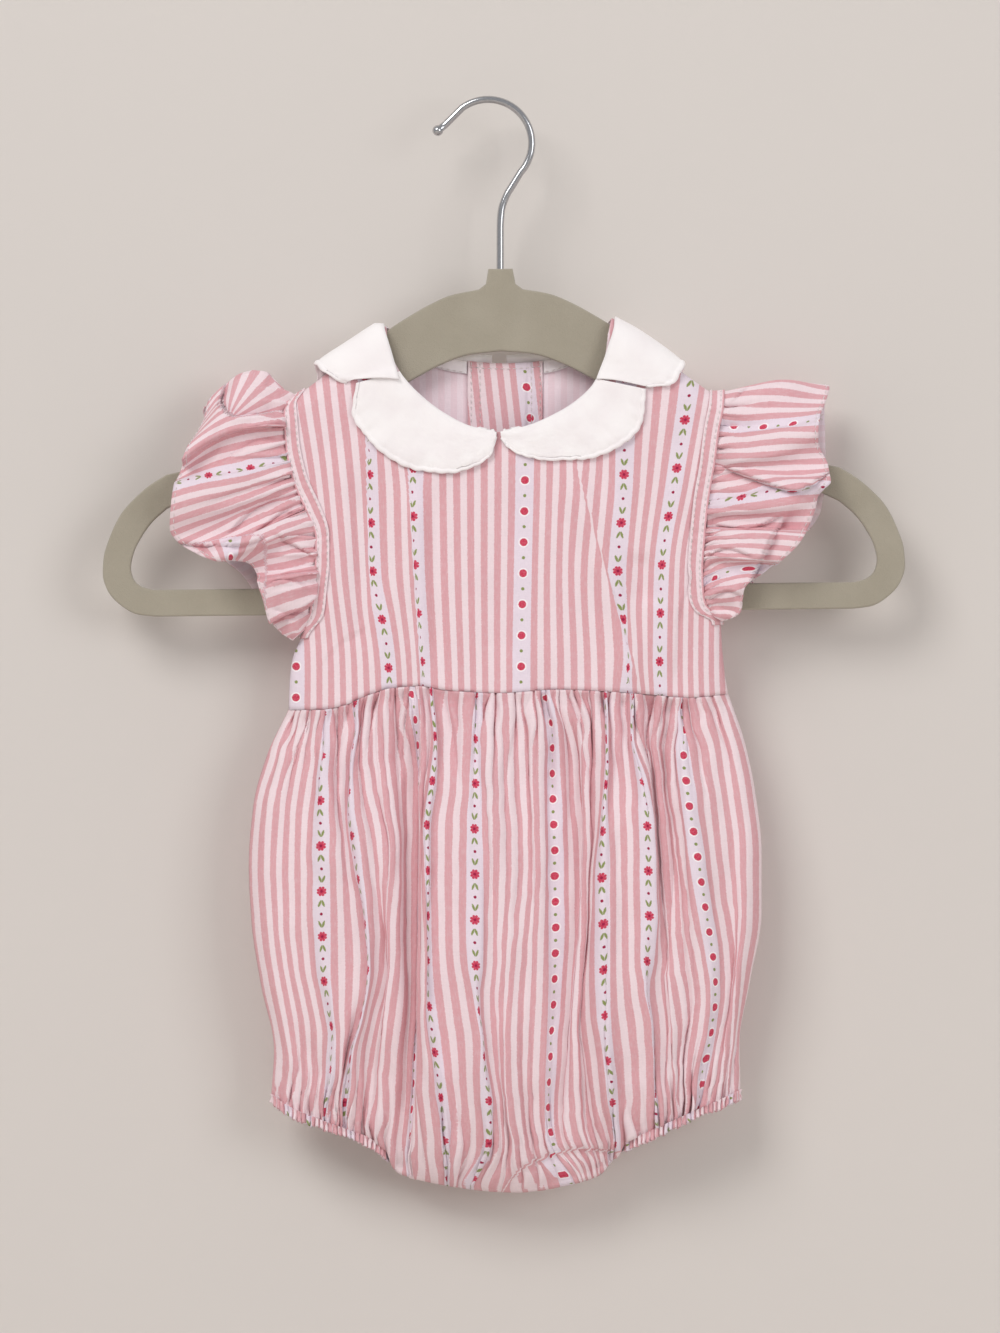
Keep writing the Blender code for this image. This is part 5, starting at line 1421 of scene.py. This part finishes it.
def make_ruffle(side, strip):
    hem, lift, cloth_laid, folds, hidden, insides, fans, seed = RUFFLES[side]
    left = side == "left"
    columns, rows = 700, 40
    share = np.linspace(*RUFFLE_SPAN, columns + 1)
    edge_line, inner_line = (strip[:, -1], strip[:, -2]) if left else (strip[:, 0], strip[:, 1])
    start = along(edge_line - unit(edge_line - inner_line) * 0.3, share, straight=True)
    edge = read_at(hem, share)
    near_top = 1 - ease(0.0, 0.13, np.abs(share - 0.5))
    down = np.linspace(0, 1, rows + 1) ** 1.25
    v = down[:, None]
    grid = between(start, edge, down)
    bow = np.array([math.sin(math.pi * r) for r in down])[:, None]
    grid[..., 1] += np.where(share < 0.5, -1, 1) * 3.0 * bow * (1 - near_top)
    grid[..., 2] -= lift * bow * near_top
    run = np.stack([lengths(row) for row in grid])
    at_seam, at_hem, marks = np.array(cloth_laid).T
    places = at_seam * (1 - v) + at_hem * v
    places = np.stack([np.interp(place, share, line) for place, line in zip(places, run)])
    u = np.linspace(marks[0], marks[-1], columns + 1)
    middle = ((u[1:] + u[:-1]) / 2 - u[0]) / (u[-1] - u[0])
    slopes = np.zeros((rows + 1, columns))
    for number, (count, sharp, *strengths) in enumerate(RUFFLE_FOLDS):
        strength = smooth(RUFFLE_FOLD_AT, strengths)(down)[:, None]
        drift = noise(middle * 9, v * 0.5, seed + number) * 0.5
        size = 1 + 0.4 * noise(middle * count * 0.7, v * 0.5, seed + number + 7)
        slopes += strength * size * fold_slope(count * middle + drift + number * 0.37, sharp)
    position, height = laid_in_waves(u, marks, places, slopes, 0.0, 3)
    height = height - running_mean(height, 50)
    limit = 1.2 + 5.5 * v
    height = limit * np.tanh(height / limit)

    def at_position(field):
        return np.stack([at_lengths(*row) for row in zip(position, run, field)])

    length = np.linalg.norm(edge - start, axis=1)
    size = np.minimum(1, length / 25)
    from_end = (share - share[0]) / (share[-1] - share[0])
    ends = ease(0.0, 0.04, from_end) * ease(0.0, 0.04, 1 - from_end)
    out = at_position(normals(grid) * (size * ends)[None, :, None])
    laid = at_position(grid)
    x, drop, seen = laid[..., 0], laid[..., 2], laid[..., 1] < -1.0
    across = np.stack([np.interp(p, line, length) for p, line in zip(position, run)])
    cloth_down = v * across.mean(0)[None]
    flutter = 0.5 * noise(u[None] / 9, v * 4, seed + 20) * v
    facing = np.clip(np.abs(out[..., 1]) * 1.6, 0, 1) * seen
    grid = laid + out * (height + flutter)[..., None]
    tucked, carried = pleats(u[None], cloth_down, seed + 30, *RUFFLE_PLEATS)
    grid -= out * (tucked * ease(-0.02, 0.04, v))[..., None]
    deep = np.minimum(pressed(x, drop, folds, 0.5), -1.5 - grid[..., 1])
    grid[..., 1] += deep * facing * ease(0.02, 0.2, v)
    carried = carried + pressed(x, drop, hidden) * seen
    cloth = cloth_of(u[None] + carried, cloth_down + 3.0)
    printed = cloth.copy()
    print_u = printed[..., 0]
    for low, high in insides:
        inside = (print_u > low) & (print_u < high)
        print_u[inside] = np.where(print_u < (low + high) / 2, low, high)[inside]
    for line, centre, turn, upwards in fans:
        centre_x, centre_drop = from_pixels(centre)
        past = (beside_line(x, drop, line)[0] > 0) & seen
        angle = np.arctan2(x - centre_x, centre_drop - drop)
        fan = cloth_of(upwards + turn * angle, np.hypot(x - centre_x, drop - centre_drop))
        printed = np.where(past[..., None], fan, printed)
    if not left:
        grid, cloth, printed = grid[:, ::-1], cloth[:, ::-1], printed[:, ::-1]
    sheet(f"sleeve_ruffle_{side}", STRIPED, grid, printed, f"armhole_band_{side}_cloth",
          "gathered", cloth, outer=-1)
    row = int(np.searchsorted(down, RUFFLE_STITCHED))
    line = thread_line(grid[row], -normals(grid)[row])
    stitches(f"hem_stitching_{side}", [line], 2.0, 1.0, 0.24)


# ---------------------------------------------------------------- the collar
def neck_points(left, count):
    """The front neckline from its centre out to where the petal ends."""
    end = PETAL_END[0] if left else PETAL_END[1]
    neck = [p for p in NECK_FRONT
            if (p[0] < -2.5 if left else p[0] > -1.5) and abs(p[0]) < abs(end)]
    neck = [(-2.6, 146.4) if left else (-1.1, 146.4), *(reversed(neck) if left else neck)]
    neck.append((end, float(smooth(*zip(*NECK_FRONT))(end))))
    return along(neck, np.linspace(0, 1, count))


def scalloped(inner, outer, seed):
    """The outer edge of a petal with the small uneven scallops that its seam pulls in."""
    run = lengths(outer)
    wave = 0.42 * np.abs(np.sin(math.pi * (run / 5.8 + 0.35 * noise(run / 11, 0, seed))))
    wave += 0.16 * noise(run / 3.6, 0, seed + 1)
    return outer + unit(outer - inner) * ((wave - 0.2) * off_ends(run))[:, None]


def petal(node, grid, flat, seed, rests_on, keep=None):
    """A soft two-layer petal: a faint welt along its edge, and a rounded edge."""
    rows, columns = grid.shape[:2]
    down = PETAL_DOWN[:, None]
    run = np.linspace(0, 110, columns)[None]
    welt = 0.30 * np.exp(-((down - 0.965) / 0.02) ** 2)
    welt = welt - 0.25 * np.exp(-((down - 0.925) / 0.02) ** 2)
    puckers = 0.42 * noise(run / 2.7, down * 3, seed) * ease(0.55, 0.98, down)
    soft = 0.7 * noise(run / 24, down * 1.6, seed + 3) + 0.3 * noise(run / 11, down * 2.5, seed + 4)
    rise = welt + puckers + (soft + 0.8) * ease(0.0, 0.3, down) * 0.8
    grid = grid + normals(grid) * rise[..., None]
    thin = np.ones((rows, columns))
    thin[-3:] = np.array(PETAL_EDGE)[:, None]
    sheet(node, COLLAR, grid, cloth_of(run, down * 36), rests_on, flat=flat, wall=PETAL_WALL,
          keep=keep, thin=thin)


def make_collar(front, backs):
    lie = FINE_CLOTH / 2 + GAP + PETAL_WALL / 2
    on_top = []
    for name, table, left, seed in (("left", PETAL_LEFT, True, 81),
                                    ("right", PETAL_RIGHT, False, 91)):
        columns = 150
        share = np.linspace(0, 1, columns)
        inner = neck_points(left, columns)
        flat = between(inner, scalloped(inner, read_at(table, share), seed), PETAL_DOWN)
        flat = flat[:, ::-1] if left else flat
        grid = settled(on_front(flat), lie, [front])
        petal(f"collar_front_{name}", grid, flat, seed + 2, "front_bodice_cloth", front_side)
        on_top.append(grid + normals(grid) * PETAL_OVER)
    for name, table, left, seed, (low, high) in (
            ("left", PETAL_BACK + PETAL_LEFT_END, True, 101, PETAL_LIFTS[0]),
            ("right", PETAL_BACK + PETAL_RIGHT_END, False, 111, PETAL_LIFTS[1])):
        line = np.array(table)
        if not left:
            line = line * (-1, 1, -1, 1) + (PETAL_BACK_SHIFT, 0, PETAL_BACK_SHIFT, 0)
        fine = along(line, np.linspace(0, 1, 200))
        inner, outer = fine[:, :2], scalloped(fine[:, :2], fine[:, 2:], seed)
        flat = between(inner, outer, PETAL_DOWN)
        grid = over_shoulder(flat[..., 0], flat[..., 1])
        grid = grid if left else grid[:, ::-1]
        moved = settled_over(grid, lie, [front, *on_top], backs) - grid
        grid = grid + np.stack([blurred(moved[..., k], 14) for k in range(3)], axis=-1)
        far = flat[..., 1] if left else flat[:, ::-1, 1]
        fade = np.where(far < 0, 1 - ease(2, 14, -far), 1 - ease(12, 34, far))
        across = PETAL_DOWN[:, None]
        grid[..., 2] -= (low + (high - low) * across) * fade * ease(0, 0.12, across)
        petal(f"collar_back_{name}", grid, flat, seed + 2, f"back_bodice_{name}_cloth")


# ---------------------------------------------------------------- the bubble and its leg casings
def leg_depth(x):
    """Half depth of the hem at x: open at the legs, closed along the crotch."""
    total = np.zeros_like(np.asarray(x, float))
    for start, end in LEG_SPAN:
        t = np.clip((x - start) / (end - start), 0, 1)
        rest = np.maximum(1 - np.abs(2 * t - 1) ** LEG_POWER, 0)
        total = total + LEG_DEEP * rest ** (1 / LEG_POWER)
    return total


def leg_share(x):
    """1 where a casing hangs below the hem, 0 along the crotch."""
    (_, left_in), (right_in, _) = LEG_SPAN
    return (1 - ease(left_in - 4.4, left_in - 1.0, x)) + ease(right_in + 1.0, right_in + 4.4, x)


def front_marks(shares):
    """The cloth marks along both edges of each ribbon, and their x at these shares of the way
    down. The lapped marks come out beside the ribbon that follows them."""
    marks, lines = [0.0], [BUBBLE_LEFT(shares)]
    for cloth, seen in FRONT_RIBBONS:
        down, across, wide = np.array(seen, float).T
        x, drop = from_pixels(np.stack([across, down], axis=1)).T
        top = waist_line(x)
        v = np.maximum.accumulate((drop - top) / (hem_line(x) - top))
        v = v + np.arange(len(v)) * 1e-3
        middle, half = smooth(v, x)(shares), smooth(v, wide * PIXEL / 2)(shares)
        if marks[-1] == FRONT_LAPPED[0]:
            edge, out = lines[-1], middle - half
            shown = []
            for number in range(len(FRONT_LAPPED) - 1, 0, -1):
                out = np.maximum(out - LAPPED_APART, edge + LAPPED_LEAST * number)
                shown.insert(0, out)
            marks += FRONT_LAPPED[1:]
            lines += shown
        marks += [cloth - RIBBON_HALF, cloth + RIBBON_HALF]
        lines += [middle - half, middle + half]
    return np.array([*marks, BODY_WIDE]), np.stack([*lines, BUBBLE_RIGHT(shares)], axis=1)


def back_marks(shares):
    lines = [curve(shares) for curve in columns_of(BACK_LINES)]
    places = np.stack([BUBBLE_LEFT(shares), *lines, BUBBLE_RIGHT(shares)], axis=1)
    return np.array(BACK_CLOTH), places


def all_pleats(across, down, seed, table):
    """Several sets of pleats beside one seam."""
    sets = [pleats(across, down, seed + number, *sizes) for number, *sizes in table]
    return sum(height for height, _ in sets), sum(carried for _, carried in sets)


def bubble_grid(back, columns, rows, seed):
    shares = np.linspace(0, 1, rows + 1)
    shares = shares - 0.6 * np.sin(2 * math.pi * shares) / (2 * math.pi)
    marks, places = (back_marks if back else front_marks)(shares)
    u = np.linspace(0, BODY_WIDE, columns + 1)
    across, v = u[None], shares[:, None]

    def bulge(x):
        """The share of the full depth that the bubble has at x."""
        left, right = BUBBLE_LEFT(v), BUBBLE_RIGHT(v)
        reach = np.minimum(np.abs(2 * (x - left) / (right - left) - 1), 1)
        return np.maximum(1 - reach**BUBBLE_POWER, 0) ** (1 / BUBBLE_POWER)

    groove = np.zeros_like(u) if back else smooth(*zip(*FRONT_SUNK))(u)
    for start, end, tall in BACK_FOLDS if back else ():
        groove += tall * np.sin(math.pi * np.clip((u - start) / (end - start), 0, 1)) ** 2
    body = ease(0.0, 0.2, v) * (1 - 0.75 * ease(0.8, 1.0, v))
    base_x = np.stack([np.interp(u, marks, row) for row in places])
    sunk = groove[None] * body * bulge(base_x)
    middle = (u[1:] + u[:-1])[None] / 2
    slopes = np.zeros((rows + 1, columns))
    for number, (count, sharp, wander, lean, strengths) in enumerate(BUBBLE_FOLDS):
        strength = smooth(FOLD_AT, strengths)(v)
        drift = wander * noise(middle / 34, v * 0.9, seed + number)
        drift = drift + lean * v * (0.4 + noise(middle / 70, 0.0, seed + number + 20))
        size = 1 + 0.5 * noise(middle * count / 500, v * 0.9, seed + number + 9)
        phase = count * middle / BODY_WIDE + drift + 0.31 * number
        slopes += strength * size * fold_slope(phase, sharp)
    if not back:
        start, end = FRONT_LAPPED[0], FRONT_LAPPED[-1]
        lapped = ease(start - 8, start - 5, middle) * (1 - ease(end, end + 4, middle))
        slopes = slopes * (1 - lapped)
    sinking = np.diff(sunk, axis=1) / (u[1] - u[0])
    x, height = laid_in_waves(u, marks, places, slopes, sinking, 2)
    height = height - running_mean(height, 22)
    most = smooth(*zip(*HEIGHT_MOST))(v)
    height = most * np.tanh(height / most)
    section, legs = bulge(x), leg_share(x)
    off_side, closed = np.minimum(section * 1.6, 1), np.minimum(section * 2.2, 1)
    top, bottom = waist_line(x), hem_line(x) - leg_share(x[-1])[None] * CASING_SHOWS
    drop = top + (bottom - top) * v
    from_top, from_hem = drop - top, bottom - drop
    deep = (BUBBLE_BACK if back else BUBBLE_FRONT)(v) * section
    turned = np.maximum(0.0, (v - TUCK_FROM) / (1 - TUCK_FROM))
    tuck = 1 - np.sqrt(np.maximum(0.0, 1 - turned ** 2))
    deep = deep + (leg_depth(x) * closed - deep) * tuck
    inwards = np.minimum(groove[None] * body * section, np.maximum(deep - 3.0, 0) * 0.7)
    calm = off_side * (1 - 0.8 * tuck * (1 - legs))
    small = 0.45 * noise(across / 9, drop / 26, seed + 40)
    small = small + 0.42 * noise(across / 7 + drop / 26, drop / 12, seed + 41)
    small = small + 0.25 * noise(across / 4 - drop / 20, drop / 7, seed + 42)
    waist_deep = depth(x, top, back) + 0.6
    deep = deep + np.maximum(waist_deep - deep, 0) * (1 - ease(0.0, 0.14, v)) * off_side
    at_top, carried_top = all_pleats(across, from_top, seed, WAIST_PLEATS)
    at_hem, carried_low = all_pleats(across, from_hem / (1.6 - 0.6 * legs), seed, HEM_PLEATS)
    pulled = at_top * ease(-0.01, 0.03, v) + at_hem * ease(0.0, 1.0, from_hem + 0.6)
    shift = carried_top + carried_low
    deep = deep - pulled * calm
    raised = (height + small * ease(0.02, 0.15, v)) * calm
    deep = np.maximum(deep - inwards + raised, 0.25 * closed)
    deep = deep + SEAM_HALF + 0.5 * ease(0.95, 1.0, v) * legs * closed
    sway = 0.3 + 0.7 * (1 - ease(0.0, 30.0, from_hem)) + 0.4 * (1 - ease(0.0, 30.0, from_top))
    x = x + sway * noise(across / 7, drop / 9, seed + 43) * off_side
    if not back:
        deep = deep - np.minimum(pressed(x, drop, FRONT_LAP, 0.2, 2.0), deep - 1.0) * calm
        shift = shift + pressed(x, drop, FRONT_LAP_PRINT)
    return np.stack([x, deep if back else -deep, drop], axis=-1), across + shift


def make_bubble(name, back, columns, rows, seed):
    grid, u = bubble_grid(back, columns, rows, seed)

    def keep(points):
        points = below_waist(back_side(points) if back else front_side(points))
        x = points[..., 0]
        floor = hem_line(x) - leg_share(x) * CASING_SHOWS
        return held_to(points, 2, floor + 0.6 * (1 - leg_share(x)), np.minimum)

    fall = running_mean(np.linalg.norm(np.diff(grid, axis=0), axis=2), 40)
    length = np.concatenate([np.zeros((1, fall.shape[1])), np.cumsum(fall, axis=0)])
    across = BODY_WIDE - u + BACK_PRINT if back else u + BUBBLE_PRINT
    cloth = cloth_of(across, length - BUBBLE_FLOWER)
    above = "back_bodice_left_cloth" if back else "front_bodice_cloth"
    sheet(name, GATHERED, grid, cloth, above, "gathered", outer=-1 if back else 1, keep=keep)


def make_casing(side, start, end, print_from):
    count = CASING_WAVES * 12
    turn = np.linspace(0, 2 * math.pi, count + 1)
    middle, half = (start + end) / 2, (end - start) / 2 - 0.6
    power = 2 / LEG_POWER
    x = middle - half * np.sign(np.cos(turn)) * np.abs(np.cos(turn)) ** power
    y = -LEG_DEEP * np.sign(np.sin(turn)) * np.abs(np.sin(turn)) ** power
    share = np.linspace(0, 1, count + 1)
    flat = along(np.stack([x, y], axis=1), share, straight=True)
    run = unit(np.concatenate([flat[1:], flat[1:2]]) - np.concatenate([flat[-2:-1], flat[:-1]]))
    normal = np.stack([-run[:, 1], run[:, 0]], axis=1)
    uneven = 0.8 * noise(share * 60, 0.0, 145) + 0.4 * np.sin(2 * math.pi * CASING_WAVES * share)
    rows = []
    for r in np.linspace(0, 1, 10):
        drift = 0.3 * noise(share * 20, r * 1.5, 141) * np.sin(math.pi * share)
        tall = (1.1 + 0.6 * noise(share * 50, r * 2, 142)) * (0.8 + 0.2 * math.cos(2 * math.pi * r))
        wave = tall * np.sin(2 * math.pi * (CASING_WAVES * share + drift))
        x, y = (flat + normal * wave[:, None]).T
        drop = hem_line(x) - LEG_BAND_TALL * (1 - r) + uneven * r * r - 0.4
        rows.append(np.stack([x, y, drop], axis=1))

    def keep(points):
        low = hem_line(points[..., 0])
        points = held_to(points, 2, low - LEG_BAND_TALL, np.maximum)
        return held_to(points, 2, low + 1.0, np.minimum)

    down = np.linspace(0, 6, len(rows))[:, None] + 190
    cloth = cloth_of(share[None] * CASING_LONG + print_from, down)
    sheet(f"leg_casing_{side}", GATHERED, np.stack(rows), cloth, "front_body_cloth", "gathered",
          keep=keep)


# ---------------------------------------------------------------- the stage, camera and lights
def stage_material(name, one_sided):
    made, tree, shader = new_material(name, 0.9)
    paint = mixed(tree, noise_on(tree, 3.0, 4.0), PAINT, PAINT_DARK)
    feed(tree, shader.inputs["Base Color"], paint)
    if one_sided:
        clear = new_node(tree, "BsdfTransparent")
        choice = new_node(tree, "MixShader")
        feed(tree, choice.inputs["Fac"], new_node(tree, "NewGeometry").outputs["Backfacing"])
        feed(tree, choice.inputs[1], shader.outputs["BSDF"])
        feed(tree, choice.inputs[2], clear.outputs["BSDF"])
        feed(tree, tree.nodes["Material Output"].inputs["Surface"], choice.outputs["Shader"])
    return made


def make_stage():
    """The wall, which is clear from behind and casts no shadow, and the floor."""
    wall = [(x, WALL_BACK, z) for x, z in ((-2, FLOOR), (2, FLOOR), (2, WALL_TOP), (-2, WALL_TOP))]
    floor = [(x, y, FLOOR) for x, y in ((-2, -2.4), (2, -2.4), (2, 2.4), (-2, 2.4))]
    for name, corners, is_wall in (("backdrop", wall, True), ("floor", floor, False)):
        mesh = bpy.data.meshes.new(name)
        mesh.from_pydata(corners, [], [(0, 1, 2, 3)])
        mesh.materials.append(stage_material(f"{name}_paint", is_wall))
        plane = placed(name, mesh)
        if is_wall:
            plane.visible_shadow = False


def make_light(name, place, size, power, colour):
    data = bpy.data.lights.new(name, "AREA")
    data.shape = "SQUARE"
    data.size, data.energy, data.color = size, power, colour
    light = placed(name, data)
    light.location = place
    light.rotation_mode = "QUATERNION"
    light.rotation_quaternion = (Vector(LIGHT_AIM) - Vector(place)).to_track_quat("-Z", "Y")


def make_camera():
    data = bpy.data.cameras.new("camera")
    data.sensor_width = 36.0
    data.lens = 36.0 * CAMERA_AWAY / FRAME_TALL
    camera = placed("camera", data)
    camera.location = (0.0053, -CAMERA_AWAY, -0.2502)
    camera.rotation_euler = (math.pi / 2, 0, 0)
    bpy.context.scene.camera = camera


def make_world():
    world = bpy.data.worlds.new("studio")
    world.use_nodes = True
    background = world.node_tree.nodes["Background"]
    background.inputs["Color"].default_value = (0.93, 0.93, 0.95, 1.0)
    background.inputs["Strength"].default_value = 0.49
    bpy.context.scene.world = world
    bpy.context.scene.view_settings.view_transform = "Standard"


make_camera()
make_stage()
make_light("key", (-1.8, -3.0, 2.3), 2.0, 85.0, (1.0, 0.99, 0.98))
make_light("fill", (2.5, -3.0, 0.5), 1.8, 35.0, (0.98, 0.985, 1.0))
make_light("behind", (0.3, 1.3, 0.4), 1.2, 8.0, (1.0, 1.0, 1.0))
make_world()

make_hanger()
make_hook()
front_sheet, back_sheets = make_bodice()
make_neck_inside(back_sheets)
make_buttons()
for side_name in ("left", "right"):
    make_ruffle(side_name, make_band(side_name, front_sheet, back_sheets))
make_collar(front_sheet, back_sheets)
make_bubble("front_body", False, 580, 84, 201)
make_bubble("back_body", True, 560, 70, 231)
(left_out, left_in), (right_in, right_out) = LEG_SPAN
make_casing("left", left_out, left_in - CASING_SHORT, 20)
make_casing("right", right_in + CASING_SHORT, right_out, 215)
